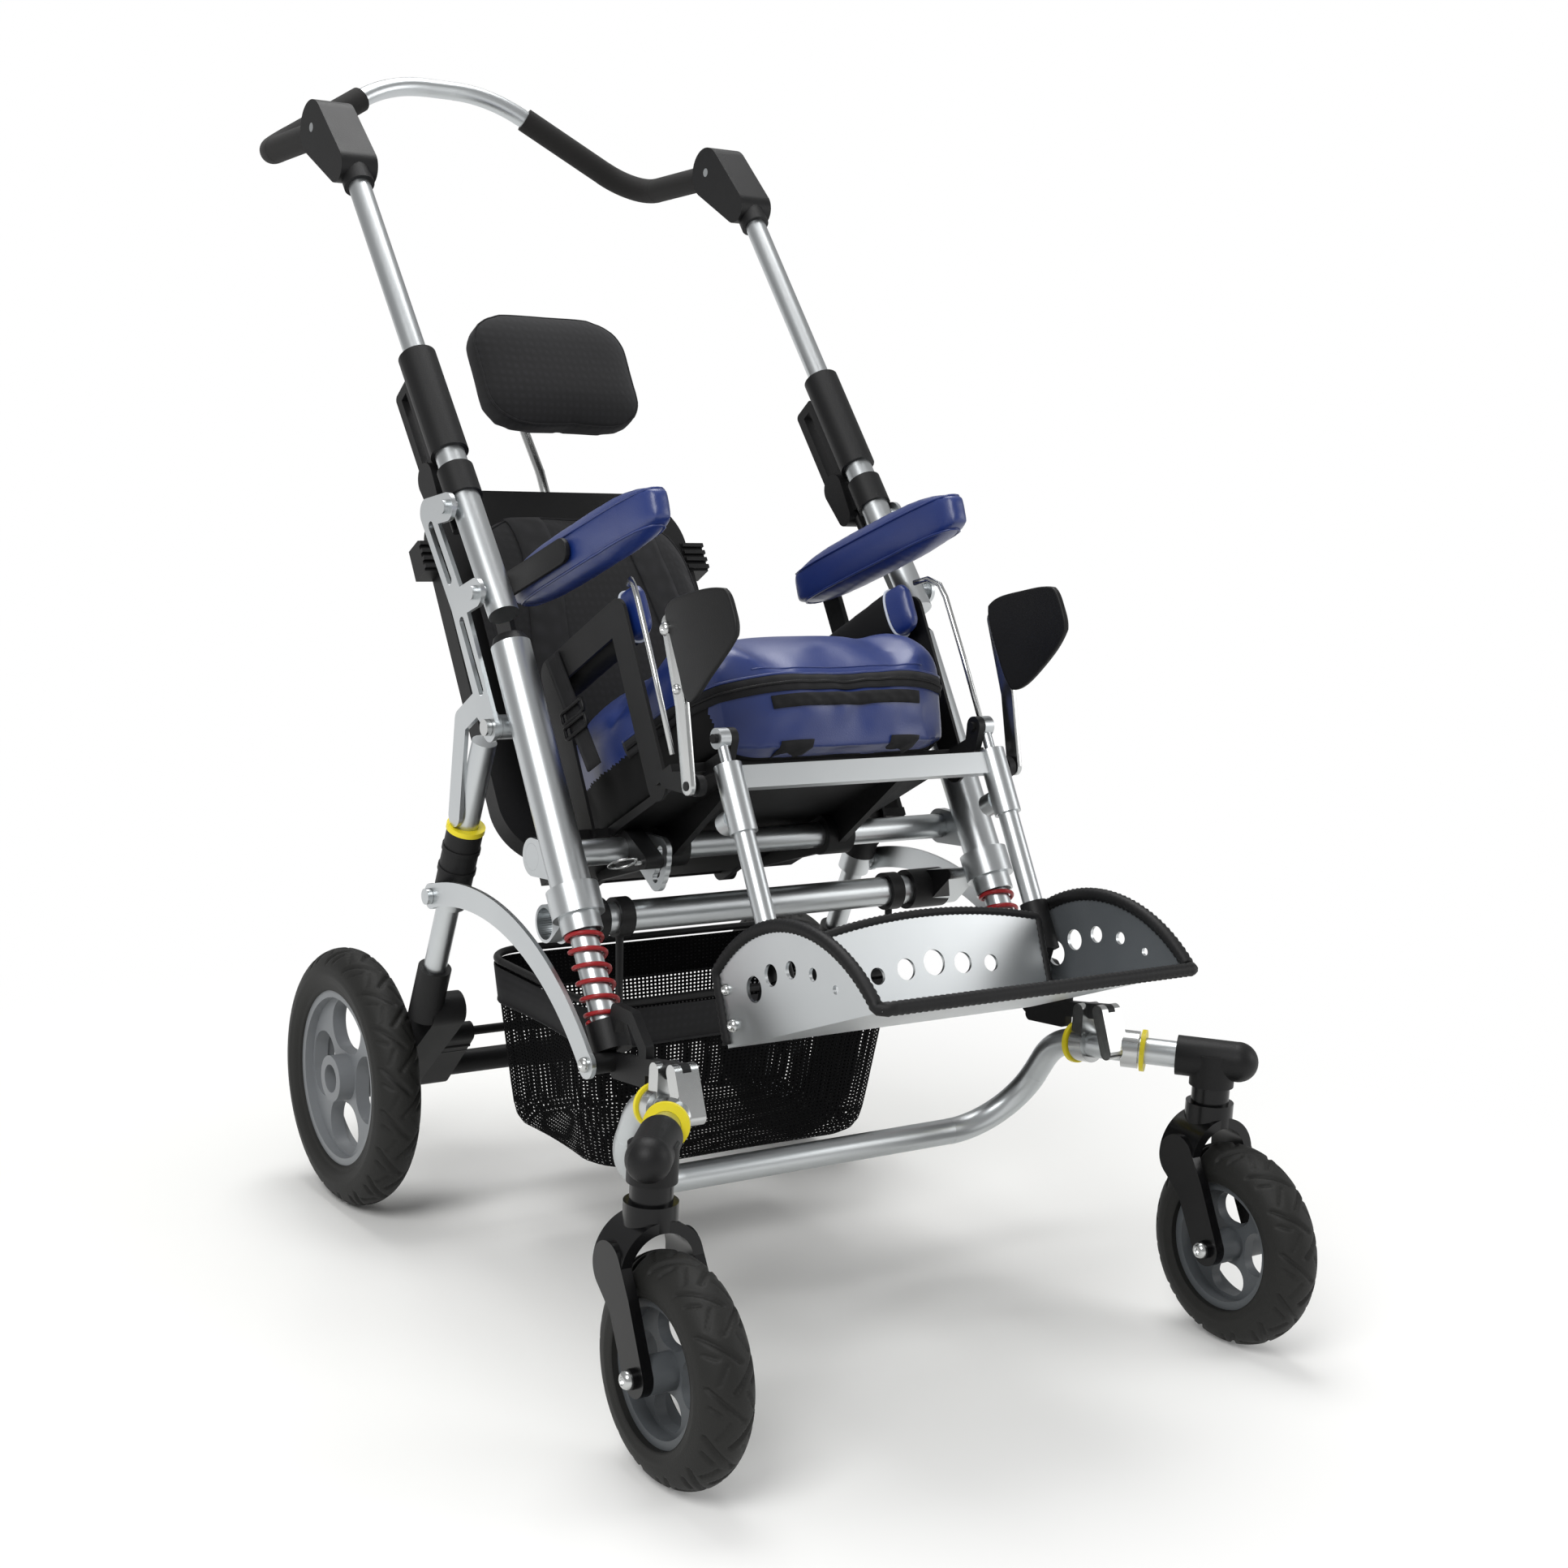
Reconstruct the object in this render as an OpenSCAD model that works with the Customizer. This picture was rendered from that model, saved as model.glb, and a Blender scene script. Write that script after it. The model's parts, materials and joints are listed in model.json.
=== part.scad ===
// Special needs buggy: a padded tilting seat unit on a folding tube chassis with sprung front legs.
// Millimetres. +Z is up, the buggy faces -Y, and the origin lies on the floor under its middle.
// Left and right are the sitter's own, so left is +X.

/* [Wheels] */
// Outside diameter of a caster tyre
caster_d = 180; // [170:1:190]
// Width of a caster tyre
caster_w = 48; // [40:1:50]
// Outside diameter of a rear tyre
rear_d = 256; // [248:1:264]
// Width of a rear tyre
rear_w = 46; // [40:1:50]
// Distance of a rear wheel's middle plane from the centre line
rear_x = 260; // [258:1:275]
// Place of the rear axle along the buggy
rear_axle_y = 176; // [170:1:185]
// Distance of a caster stem from the centre line
stem_x = 294; // [285:1:305]
// Place of the caster stems along the buggy
stem_y = -452; // [-460:1:-445]
// Offset of the caster axle from its stem
caster_trail = 45; // [35:1:50]

/* [Chassis] */
// Distance of a main tube from the centre line
main_x = 226; // [222:1:230]
// Outside diameter of a main tube
main_d = 36; // [32:1:38]
// Wall of a main tube
main_wall = 2; // [1.5:0.5:3]
// Length of a main tube
main_len = 272; // [260:1:285]
// Lean of a main tube away from upright
main_lean = 32.9; // [31:0.1:35]
// Outside diameter of a suspension strut
strut_d = 24; // [22:1:25]
// Outside diameter of the front bow tube
bow_d = 24; // [22:1:26]
// Outside diameter of the seat pivot tube
seat_tube_d = 24; // [22:1:26]
// Outside diameter of the lower cross tube
low_tube_d = 28; // [25:1:30]

/* [Suspension spring] */
// Outside diameter of a coil spring
spring_d = 34; // [33:1:38]
// Thickness of the spring wire
spring_wire = 4; // [3:0.5:4]
// Turns of a coil spring
spring_turns = 6; // [4:1:7]

/* [Push handle] */
// Lean of the push tubes away from upright
push_lean = 40.7; // [39:0.1:42]
// Outside diameter of a lower push tube
push_low_d = 28; // [26:1:29]
// Outside diameter of an upper push tube
push_up_d = 22; // [20:1:23]
// Distance from a push tube's foot to its angle housing
push_reach = 505; // [480:1:530]
// Outside diameter of the push bar
bar_d = 20; // [18:1:21]
// Outside diameter of the push bar's grips
grip_d = 27; // [25:1:30]

/* [Seat] */
// Backward tilt of the seat unit
seat_tilt = 30; // [25:1:33]
// Width of the seat cushion
seat_w = 290; // [270:1:300]
// Depth of the seat cushion
seat_depth = 330; // [300:1:340]
// Thickness of the seat cushion at its middle
seat_thick = 112; // [90:1:114]
// Height of the side bolsters above the cushion's middle
bolster_h = 30; // [15:1:35]
// Width of the backrest
back_w = 300; // [270:1:310]
// Height of the backrest above its hinge
back_h = 425; // [380:1:440]
// Width of the headrest pad
head_w = 200; // [180:1:220]
// Height of the headrest pad
head_h = 150; // [130:1:160]
// Length of an armrest pad
arm_len = 275; // [250:1:300]
// Width of an armrest pad
arm_w = 42; // [36:1:44]

/* [Legrest] */
// Distance of a legrest tube from the centre line
leg_tube_x = 141; // [136:1:146]
// Outside diameter of a legrest socket
leg_socket_d = 24; // [22:1:25]
// Outside diameter of a footrest tube
leg_tube_d = 18; // [16:1:19]
// Room between a footrest sleeve and the side of the footplate
foot_gap = 6; // [4:1:12]
// Length of the footplate's floor
foot_len = 221; // [205:1:225]
// Thickness of the footplate's sheet metal
foot_sheet = 3; // [2:0.5:4]

/* [Basket] */
// Width of the basket at its rim
basket_w = 360; // [320:1:370]
// Length of the basket at its rim
basket_len = 225; // [200:1:235]
// Depth of the basket
basket_h = 165; // [140:1:175]

/* [Hidden] */
$fn = 64;
fine_fn = 96;
// Fits and clearances
overrun = 2;
fit = 0.1;
run = 0.08;
clear = 0.3;
air = 1.5;
weld = 0.5;
hull_fn = 32;
bend_swell = 0.3;
bend_lap = 1;
link_inset = 0.05;

// Side view of the chassis: places are [y, z], and each tube has its own along and off axes
main_foot = [-214, 358];
function lean_along(lean) = [sin(lean), cos(lean)];
function lean_off(lean) = [cos(lean), -sin(lean)];
function main_at(along, off = 0) = main_foot + along * lean_along(main_lean) + off * lean_off(main_lean);
main_r = main_d / 2;
plug_len = 8;
plug_deep = 22;

// Fold pivot on the rear side of each main tube
fold_along = 205;
fold_off = 26;
fold_pivot = main_at(fold_along, fold_off);
fold_boss_r = 11;
fold_bolt_d = 8;
fold_head_d = 15;
fold_head_t = 5;
plate_t = 4;
hook_x = main_x + main_r + plate_t / 2 + clear;
fold_x = hook_x + plate_t + clear;
fold_lug_t = 14;

// Seat pivot and lower cross tube
seat_pivot = [-126, 407];
ear_t = 8;
ear_r = 17;
ear_along = 62;
low_tube = [-146, 351];
low_clamp_len = 26;
low_clamp_wall = 5;
low_clamp_along = 28;
low_clamp_x = 190;
low_sleeve_len = 42;

// Strut, spring and tie-down bracket, measured along the main tube from its foot
strut_top = 110;
bush_len = 34;
spring_top = 0;
spring_len = 80;
spring_sides = 6;
rings_per_turn = 12;
cup_len = 22;
cup_wall = 5;
cup_base = 4;
cup_top = spring_top - spring_len;
cup_foot = cup_top - cup_len - cup_base;
bracket_t = 8;
bracket_bar_r = 6;
link_bolt_drop = 8;
link_bolt_along = cup_foot - link_bolt_drop;
link_bolt_d = 8;
link_boss_d = 18;
eyelet_near = [-78, -26];
eyelet_far = [-92, -47];
eyelet_nose = [-121, -54];
eyelet_low = [-143, -40];
rail_r = 7;
rail_back_at = [-121, -16];
rail_front_at = [-155, -99];
rail_back = main_at(rail_back_at.x, rail_back_at.y);
rail_front = main_at(rail_front_at.x, rail_front_at.y);

// Caster stem stack, from the floor up
crown_gap = 9;
crown_h = 20;
collar_h = 15;
collar_d = 34;
head_h_stem = 42;
head_d_stem = 40;
pin_d = 12;
pin_up = 30;
crown_z = caster_d + crown_gap;
collar_z = crown_z + crown_h;
head_foot_z = collar_z + collar_h + clear;
head_cap = 6;
arm_z = head_foot_z + head_h_stem - bow_d / 2 - head_cap;
tube_short = 8;

// Front bow tube, corner points of its right half from the stem to the middle
bow_arm = [stem_x, stem_y, arm_z];
bow_shoulder = [231, -378, arm_z];
bow_neck = [224, -318, 240];
bow_corner = [216, -262, 144];
bow_shoulder_r = 45;
bow_neck_r = 50;
bow_corner_r = 72;
clamp_wall = 5;
clamp_len = 15;
clamp_ear_t = 22;
clamp_ear_r = 7;
band_len = 4;
band_gap = 2;
band_wall = 7;
cover_d = 36;
cover_from = 30;
cover_past = 22;

// Caster fork and wheels
fork_gap = 4;
fork_t = 9;
fork_top_r = 21;
fork_axle_r = 15;
fork_mid_share = 0.55;
fork_mid_r = 16;
fork_mid_back = 5;
caster_axle_d = 10;
axle_cap_d = 16;
axle_cap_t = 4;
caster_rim_r = 57;
caster_hub_d = 30;
caster_web_t = 10;
rear_rim_r = 87;
rear_hub_d = 46;
rear_web_t = 14;
rim_wall = 7;
rim_lip = 3;
spokes = 4;
spoke_hole_share = 0.2;
tread_crown_share = 0.12;
hub_recess_d = 28;
hub_recess_h = 14;

// Rear legs: axis from the fold pivot side down to the axle housings
leg_up_d = 23;
leg_x = hook_x - plate_t / 2 - leg_up_d / 2 + weld;
leg_top = [-36, 496];
rear_axle = [rear_axle_y, rear_d / 2];
foot_fore = 112;
foot_rise = 106;
leg_foot = rear_axle + [-foot_fore, foot_rise];
leg_len = norm(leg_foot - leg_top);
leg_dir = (leg_foot - leg_top) / leg_len;
leg_lean = atan2(leg_dir.x, -leg_dir.y);
function leg_at(along, off = 0) = leg_top + along * leg_dir + off * [leg_dir.y, -leg_dir.x];
leg_low_d = 22;
leg_up_len = 88;
stack_len = 66;
stack_d = 34;
ring_d = 36;
ring_h = 5;
stack_rings = 3;
link_collar_h = 20;
link_collar_d = 32;
hook_w_r = 11;
hook_crest = [-48, 533];
hook_turn = [-16, 512];
hook_foot_along = leg_up_len - hook_w_r - clear;
link_w = 22;
link_rise = 46;
link_eye_r = 12;
link_x = leg_x + link_collar_d / 2 + plate_t / 2 + air;
link_slack = 2;

// Axle, housings and brake
housing_gap = 5;
housing_t = 34;
housing_x = rear_x - rear_w / 2 - housing_gap - housing_t / 2;
housing_top_r = 17;
housing_axle_r = 22;
axle_d = 24;
stub_d = 14;
stub_cap_d = 24;
stub_cap_t = 3;
pedal_w = 36;
pedal_wall = 6;
pedal_x = housing_x - housing_t / 2 - air - pedal_w / 2;
pedal_len = 58;
pedal_lift = 50;
pedal_pad_r = 10;
pedal_ribs = 4;
pedal_rib = 2.4;
brake_rod_d = 9;

// Push handle: places along and off each push tube from its foot
push_x = 231;
push_foot_gap = 17.2;
push_foot_off = -10.05;
push_foot = main_at(main_len + plug_len + push_foot_gap, push_foot_off);
function push_at(along, off = 0) = push_foot + along * lean_along(push_lean) + off * lean_off(push_lean);
push_low_len = 286;
push_plug = 10;
push_up_from = 148;
sleeve_from = 178;
sleeve_len = 114;
sleeve_wall = 4;
plate_knee_along = 36;
plate_knee_off = 34;
plate_top_along = 138;
plate_top_off = 36;
plate_r = 13;
plate_low_bolt = 24;
plate_high_bolt = 118;
slot_w = 9;
slot_in_share = 0.25;
slot_out_share = 0.85;
plate_bolt_d = 13;
lever_t = 12;
lever_bar_r = 5;
lever_top_along = 278;
lever_low_along = 176;
lever_in = 24.5;
lever_out = 46;
lever_block_len = 34;
lever_rod_d = 9;
lever_rod_end = 112;
lever_collar_from = 128;
lever_collar_len = 32;
lever_collar_wall = 3;
housing_lap = 12;
angle_t = 38;
angle_neck_r = 17;
angle_r = 27;
angle_reach = 94;
angle_along = push_reach + angle_reach;
angle_off = 20;
angle_pivot = push_at(angle_along, angle_off);
angle_neck_along = push_reach + angle_neck_r / 2;
hub_r = 19;
hub_t = 15;
hub_pin_d = 9;
bar_swing_up = 75;
bar_swing_down = 60;
neck_d = 14;
neck_len = 30;
bar_x = push_x;
bar_dip = 5.2;
bar_hand = 180;
bar_hand_dir = [cos(bar_dip), -sin(bar_dip)];
bar_bend = angle_pivot + bar_hand * bar_hand_dir;
bar_top = [577, 1136];
bar_flat = 62;
bar_bend_r = 58;
bar_top_r = 150;
grip_lap = 155;

// Seat unit, in its own frame: origin on the pivot tube, seat level before the tilt
collar_len = 30;
collar_wall = 7;
collar_x = 92;
gusset_t = 8;
gusset_fore = 128;
gusset_aft = 120;
gusset_r = 8;
pan_t = 8;
pan_low = 16;
pan_front = -158;
pan_back = 150;
pan_w = 288;
rail_w = 30;
post_y = 22;
post_t = 5;
post_r = 13;
lug_t = 7;
lug_r = 9;
eye_t = 10;
hinge_d = 8;
leg_hinge = [-199, 30];
leg_lug_y = -188;
knee_hinge = [-186, -6];
knee_x = 172;
knee_bar_t = 5;
knee_lug_x = knee_x - knee_bar_t / 2 - clear - lug_t / 2;
leg_lug_x = leg_tube_x - eye_t / 2 - clear - lug_t / 2;
cushion_low = pan_low + pan_t + weld;
cushion_front = -214;
cushion_tuck = 19;
cushion_corner = 46;
cushion_flap = 18;
cushion_pull = 6;
cushion_crown = 14;
cushion_nose = 18;
cushion_edge_share = 0.72;
bolster_share = 0.6;
arm_hinge = [30, 270];
arm_angle = 8;
arm_t = 56;
arm_crown = 3;
arm_pad_x = 160;
arm_plate_t = 5;
arm_plate_r = 12;
arm_plate_len = 120;
arm_plate_x = arm_pad_x + arm_w / 2 + clear + arm_plate_t / 2;
post_x = arm_plate_x + arm_plate_t / 2 + clear + post_t / 2;
side_panel_t = 3;
side_pad_t = 28;
side_pad_x = 146;
side_pad_len = 196;
side_pad_h = 62;
side_pad_y = -52;
side_pad_z = 177;
side_crown = 5;
side_panel_x = side_pad_x + side_pad_t / 2 + clear + side_panel_t / 2;
back_hinge = [176, 26];
back_hinge_d = 10;
back_lug_x = 78;
back_eye_r = 12;
shell_t = 22;
shell_corner = 60;
shell_off = 8;
back_lean = 3;
back_pad_t = 40;
back_pad_crown = 10;
back_pad_z = 66;
back_pad_gap = 19;
back_pad_h = back_h - back_pad_z - back_pad_gap;
buckle_z = 360;
buckle_w = 24;
buckle_h = 34;
buckle_t = 26;
buckle_teeth = 4;
head_rod_d = 10;
head_rod_deep = 120;
head_rise = 30;
head_set = 12;
head_up = 103;
head_bend_r = 12;
head_y = -52;
head_t = 46;
head_crown = 9;
head_corner = 46;
sector_x = 118;
sector_t = 5;
sector_tip_r = 12;
sector_tips = 5;
sector_step_angle = 11;
sector_from_angle = -14;
plunger_d = 6;
plunger_body_d = 14;
plunger_body_len = 18;
plunger_r = 36;
plunger_angle = 216;
pull_ring_r = 13;
pull_wire = 2.4;

// Legrest and footplate, in the seat's frame
socket_top = 6;
socket_len = 60;
socket_y = -199;
socket_wall = 2.5;
hanger_d = 9.5;
cross_h = 20;
cross_t = 8;
cross_z = -6;
leg_knob_d = 20;
leg_knob_t = 14;
leg_knob_z = -38;
foot_tube_top = -30;
foot_tube_foot = -182;
foot_sleeve_d = 24;
foot_sleeve_len = 44;
foot_w = 2 * (leg_tube_x + foot_sleeve_d / 2 + foot_gap + foot_sheet);
foot_hinge = [-176, -194];
foot_angle = 8;
foot_eye_r = 10;
foot_rise_h = 84;
foot_top_y = -40;
foot_behind_len = 40;
foot_back_h = 84;
foot_back_w = 240;
foot_back_arc_r = 560;
foot_back_pitch = 30;
foot_back_y = -40;
foot_arc_r = 148;
foot_holes = 5;
foot_hole_d = 22;
foot_hole_angle = 15;
foot_hole_shrink_share = 0.17;
foot_floor_drop = 26;
foot_field_h = 1;
foot_field_inset = 6;

// Knee guides, in the seat's frame
knee_bar_r = 8;
knee_elbow = [-205, 58];
knee_top = [-214, 128];
knee_shell_r = 300;
knee_shell_t = 5;
knee_shell_angle = 9.4;
knee_shell_back_angle = 5;
knee_shell_sweep_angle = 27;
knee_shell_soft = 10;
knee_shell_side = [[-222, 136], [-300, 114], [-296, 80], [-222, 60]];

// Basket
basket_wall = 4;
basket_taper_share = 0.82;
basket_corner = 46;
basket_y = -42;
basket_z = 268;
rim_d = 7;
rim_hook_x = 150;
rim_hook_wall = 4;

// Colours as seen
alu = "silver";
steel = "gainsboro";
black = "#1c1c1e";
rubber = "#262628";
blue = "#1f3f97";
red = "#8c1d20";
yellow = "#e6d21f";
grey = "#6f7275";

// General shapes

// A point of the side view, carried to a plane beside the centre line
function at_x(x, p) = [x, p.x, p.y];
function unit(v) = v / norm(v);

// Straight round rod between two points
module rod(p, q, d) {
  v = q - p;
  len = norm(v);
  translate(p)
    rotate([0, acos(v.z / len), atan2(v.y, v.x)])
      cylinder(h = len, d = d);
}

// Round tube along a chain of points, each inner corner bent to its own radius
function bend_angle(pts, i) = acos(unit(pts[i] - pts[i - 1]) * unit(pts[i + 1] - pts[i]));
function bend_run(pts, radii, i) =
  i == 0 || i == len(pts) - 1 ? 0 : radii[i - 1] * tan(bend_angle(pts, i) / 2);

module bend(before, corner, after, r, d) {
  u = unit(corner - before);
  w = unit(after - corner);
  angle = acos(u * w);
  inward = unit(w - (w * u) * u);
  start = corner - u * r * tan(angle / 2);
  centre = start + inward * r;
  side = cross(-inward, u);
  multmatrix([
    [-inward.x, u.x, side.x, centre.x],
    [-inward.y, u.y, side.y, centre.y],
    [-inward.z, u.z, side.z, centre.z],
    [0, 0, 0, 1]
  ])
    rotate_extrude(angle = angle)
      translate([r, 0])
        circle(d = d);
}

// Each bend is swollen a little and laps over the straight runs beside it
module bent_tube(pts, radii, d) {
  last = len(pts) - 1;
  for (i = [0 : last - 1]) {
    v = unit(pts[i + 1] - pts[i]);
    lap_in = i > 0 ? bend_lap : 0;
    lap_out = i < last - 1 ? bend_lap : 0;
    rod(
      pts[i] + v * (bend_run(pts, radii, i) - lap_in),
      pts[i + 1] - v * (bend_run(pts, radii, i + 1) - lap_out),
      d
    );
  }
  for (i = [1 : last - 1])
    bend(pts[i - 1], pts[i], pts[i + 1], radii[i - 1], d + bend_swell);
}
function reversed(list) = [for (i = [len(list) - 1 : -1 : 0]) list[i]];
function and_mirror(pts) = concat(pts, [for (p = reversed(pts)) [-p.x, p.y, p.z]]);

// Flat outlines drawn in the side view: the sides of a link cut its end circles just inside their tangents
module link_2d(p, rp, q, rq) {
  v = q - p;
  heading = atan2(v.y, v.x);
  spread = acos((rp - rq) / norm(v));
  up = [cos(heading + spread), sin(heading + spread)];
  down = [cos(heading - spread), sin(heading - spread)];
  translate(p)
    circle(r = rp);
  translate(q)
    circle(r = rq);
  rp_in = rp - link_inset;
  rq_in = rq - link_inset;
  polygon([p + rp_in * up, q + rq_in * up, q + rq_in * down, p + rp_in * down]);
}

module chain_2d(pts, r) {
  for (i = [0 : len(pts) - 2])
    link_2d(pts[i], r, pts[i + 1], r);
}
module soft_polygon_2d(pts, r) {
  polygon(pts);
  chain_2d(concat(pts, [pts[0]]), r);
}

// Arched strip from p to q, bulging to its right by the rise
module arch_2d(p, q, rise, w) {
  chord = norm(q - p);
  r = (pow(chord / 2, 2) + rise * rise) / (2 * rise);
  across = [q.y - p.y, p.x - q.x] / chord;
  centre = (p + q) / 2 - across * (r - rise);
  reach = 2 * r;
  intersection() {
    translate(centre)
      difference() {
        circle(r = r + w / 2, $fn = fine_fn);
        circle(r = r - w / 2, $fn = fine_fn);
      }
    polygon([
      centre,
      centre + reach * unit(p - centre),
      centre + reach * across,
      centre + reach * unit(q - centre)
    ]);
  }
}

// Side view drawing raised to a plate around the plane at x
module side_plate(x, t) {
  translate([x - t / 2, 0, 0])
    rotate([90, 0, 90])
      linear_extrude(t)
        children();
}

// Cylinder across the buggy through a side view point
module cross_pin(x, t, p, d) {
  translate([x - t / 2, p.x, p.y])
    rotate([0, 90, 0])
      cylinder(h = t, d = d);
}

// Rounded rectangle built from its corner circles
module soft_rect_2d(w, h, r) {
  square([w - 2 * r, h], center = true);
  square([w, h - 2 * r], center = true);
  for (sx = [-1, 1], sy = [-1, 1])
    translate([sx * (w / 2 - r), sy * (h / 2 - r)])
      circle(r = r);
}

module both_sides() {
  children();
  mirror([1, 0, 0])
    children();
}

module right_side() {
  mirror([1, 0, 0])
    children();
}

// Frame whose +Z runs up a main tube from its foot
module on_main() {
  translate(at_x(main_x, main_foot))
    rotate([-main_lean, 0, 0])
      children();
}

// Frame whose +Z runs up a push tube from its foot
module on_push() {
  translate(at_x(push_x, push_foot))
    rotate([-push_lean, 0, 0])
      children();
}

// Frame whose +Z runs down a rear leg from its top
module on_leg() {
  translate(at_x(leg_x, leg_top))
    rotate([180 + leg_lean, 0, 0])
      children();
}

// Frame of the tilted seat unit
module in_seat() {
  translate(at_x(0, seat_pivot))
    rotate([-seat_tilt, 0, 0])
      children();
}

// Closed skin over a grid of front points and a grid of back points
function grid_faces(nu, nv, first, flip) = [
  for (j = [0 : nv - 2], i = [0 : nu - 2], half = [0, 1])
    let (a = first + j * nu + i, b = a + 1, c = a + nu, e = c + 1)
    half == 0 ? (flip ? [a, c, b] : [a, b, c]) : (flip ? [b, c, e] : [b, e, c])
];
function border(nu, nv) = concat(
  [for (i = [0 : nu - 2]) i],
  [for (j = [0 : nv - 2]) j * nu + nu - 1],
  [for (i = [nu - 1 : -1 : 1]) (nv - 1) * nu + i],
  [for (j = [nv - 1 : -1 : 1]) j * nu]
);
module two_grids(front, back, nu, nv) {
  edge = border(nu, nv);
  n = len(edge);
  total = nu * nv;
  rim = [
    for (k = [0 : n - 1], half = [0, 1])
      let (a = edge[k], b = edge[(k + 1) % n])
      half == 0 ? [a, b, a + total] : [b, b + total, a + total]
  ];
  polyhedron(
    points = concat(front, back),
    faces = concat(grid_faces(nu, nv, 0, true), grid_faces(nu, nv, total, false), rim)
  );
}

// Crowned pad lying in the XY plane: sides drawn in between rounded corners
pad_n = 13;
pad_edge_share = 0.55;
pad_power = 4;
function pad_u(i) = sin(-90 + 180 * i / (pad_n - 1));
function pad_fall(u, v) = (1 - pow(abs(u), pad_power)) * (1 - pow(abs(v), pad_power));
function pad_plan(u, v, w, h, corner, pull) =
  let (
    squeeze = corner / max(w, h),
    x = u * (w / 2 - pull * (1 - v * v)) * (1 - squeeze * pow(v, pad_power)),
    y = v * (h / 2 - pull * (1 - u * u)) * (1 - squeeze * pow(u, pad_power))
  ) [x, y];
module pad(w, h, t, crown, corner, pull, back_crown) {
  grid = [for (j = [0 : pad_n - 1], i = [0 : pad_n - 1]) [pad_u(i), pad_u(j)]];
  edge = t / 2 * pad_edge_share;
  front = [
    for (g = grid)
      let (p = pad_plan(g.x, g.y, w, h, corner, pull))
      [p.x, p.y, edge + (t / 2 - edge + crown) * pad_fall(g.x, g.y)]
  ];
  back = [
    for (g = grid)
      let (p = pad_plan(g.x, g.y, w, h, corner, pull))
      [p.x, p.y, -edge - (t / 2 - edge + back_crown) * pad_fall(g.x, g.y)]
  ];
  two_grids(front, back, pad_n, pad_n);
}

// Chassis

module main_tube() {
  color(alu)
    difference() {
      union() {
        on_main()
          cylinder(h = main_len, d = main_d);
        side_plate(main_x, fold_lug_t)
          link_2d(main_at(fold_along), fold_boss_r, fold_pivot, fold_boss_r - overrun);
        cross_pin(main_x + main_r / 2, main_r, fold_pivot, 2 * fold_boss_r);
        side_plate(main_x, ear_t)
          link_2d(main_at(ear_along), ear_r - overrun, seat_pivot, ear_r);
      }
      on_main()
        translate([0, 0, -overrun])
          cylinder(h = main_len + 2 * overrun, d = main_d - 2 * main_wall);
      cross_pin(main_x, main_d + overrun, fold_pivot, fold_bolt_d + 2 * fit);
      cross_pin(main_x, ear_t + overrun, seat_pivot, seat_tube_d + 2 * fit);
    }
}

module left_main_tube() main_tube();
module right_main_tube() right_side() main_tube();

module main_tube_plugs() {
  color(black)
    both_sides()
      on_main()
        translate([0, 0, main_len]) {
          cylinder(h = plug_len, d1 = main_d, d2 = main_d - plug_len);
          translate([0, 0, -plug_deep])
            cylinder(h = plug_deep, d = main_d - 2 * main_wall - 2 * fit);
        }
}

// Seat pivot tube with the index plate of the tilt lock welded on
module seat_pivot_tube() {
  color(alu) {
    cross_pin(0, 2 * main_x + ear_t, seat_pivot, seat_tube_d);
    side_plate(-sector_x, sector_t)
      translate(seat_pivot)
        difference() {
          for (k = [0 : sector_tips - 1])
            link_2d([0, 0], seat_tube_d / 2 + collar_wall / 2, sector_tip(k), sector_tip_r);
          chain_2d([for (k = [0 : sector_tips - 1]) sector_tip(k)], plunger_d / 2 + air / 2);
          for (k = [0 : sector_tips - 1])
            translate(sector_tip(k))
              circle(r = plunger_d / 2 + air);
        }
  }
}
function sector_heading(k) = plunger_angle - seat_tilt + sector_from_angle + k * sector_step_angle;
function sector_tip(k) = plunger_r * [cos(sector_heading(k)), sin(sector_heading(k))];

module lower_cross_tube() {
  color(alu)
    cross_pin(0, 2 * (low_clamp_x + low_sleeve_len / 2), low_tube, low_tube_d);
}

// Moulded clamp that carries the lower cross tube on a main tube
module cross_tube_clamps() {
  ring_d_main = main_d + 2 * low_clamp_wall;
  ring_d_low = low_tube_d + 2 * low_clamp_wall;
  reach_x = main_x - low_clamp_x;
  color(black)
    both_sides()
      difference() {
        union() {
          on_main()
            translate([0, 0, low_clamp_along - low_clamp_len / 2])
              cylinder(h = low_clamp_len, d = ring_d_main);
          side_plate(low_clamp_x + reach_x / 2, reach_x)
            link_2d(
              main_at(low_clamp_along, main_r),
              low_clamp_wall + clear,
              low_tube,
              ring_d_low / 2 - overrun
            );
          cross_pin(low_clamp_x, low_sleeve_len, low_tube, ring_d_low);
        }
        on_main()
          translate([0, 0, -overrun])
            cylinder(h = main_len, d = main_d + 2 * fit);
        cross_pin(0, 2 * main_x, low_tube, low_tube_d + 2 * fit);
      }
}

module fold_pivot_bolts() {
  inner = main_x - main_r;
  outer = fold_x + plate_t / 2 + clear;
  color(steel)
    both_sides() {
      cross_pin((inner + outer) / 2, outer - inner, fold_pivot, fold_bolt_d);
      cross_pin(outer + fold_head_t / 2, fold_head_t, fold_pivot, fold_head_d);
    }
}

// Plain bearing in the foot of each main tube, in which the strut slides
module strut_bushes() {
  color(black)
    both_sides()
      on_main()
        difference() {
          cylinder(h = bush_len, d = main_d - 2 * main_wall - 2 * fit);
          translate([0, 0, -overrun])
            cylinder(h = bush_len + 2 * overrun, d = strut_d + 2 * run);
        }
}

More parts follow.
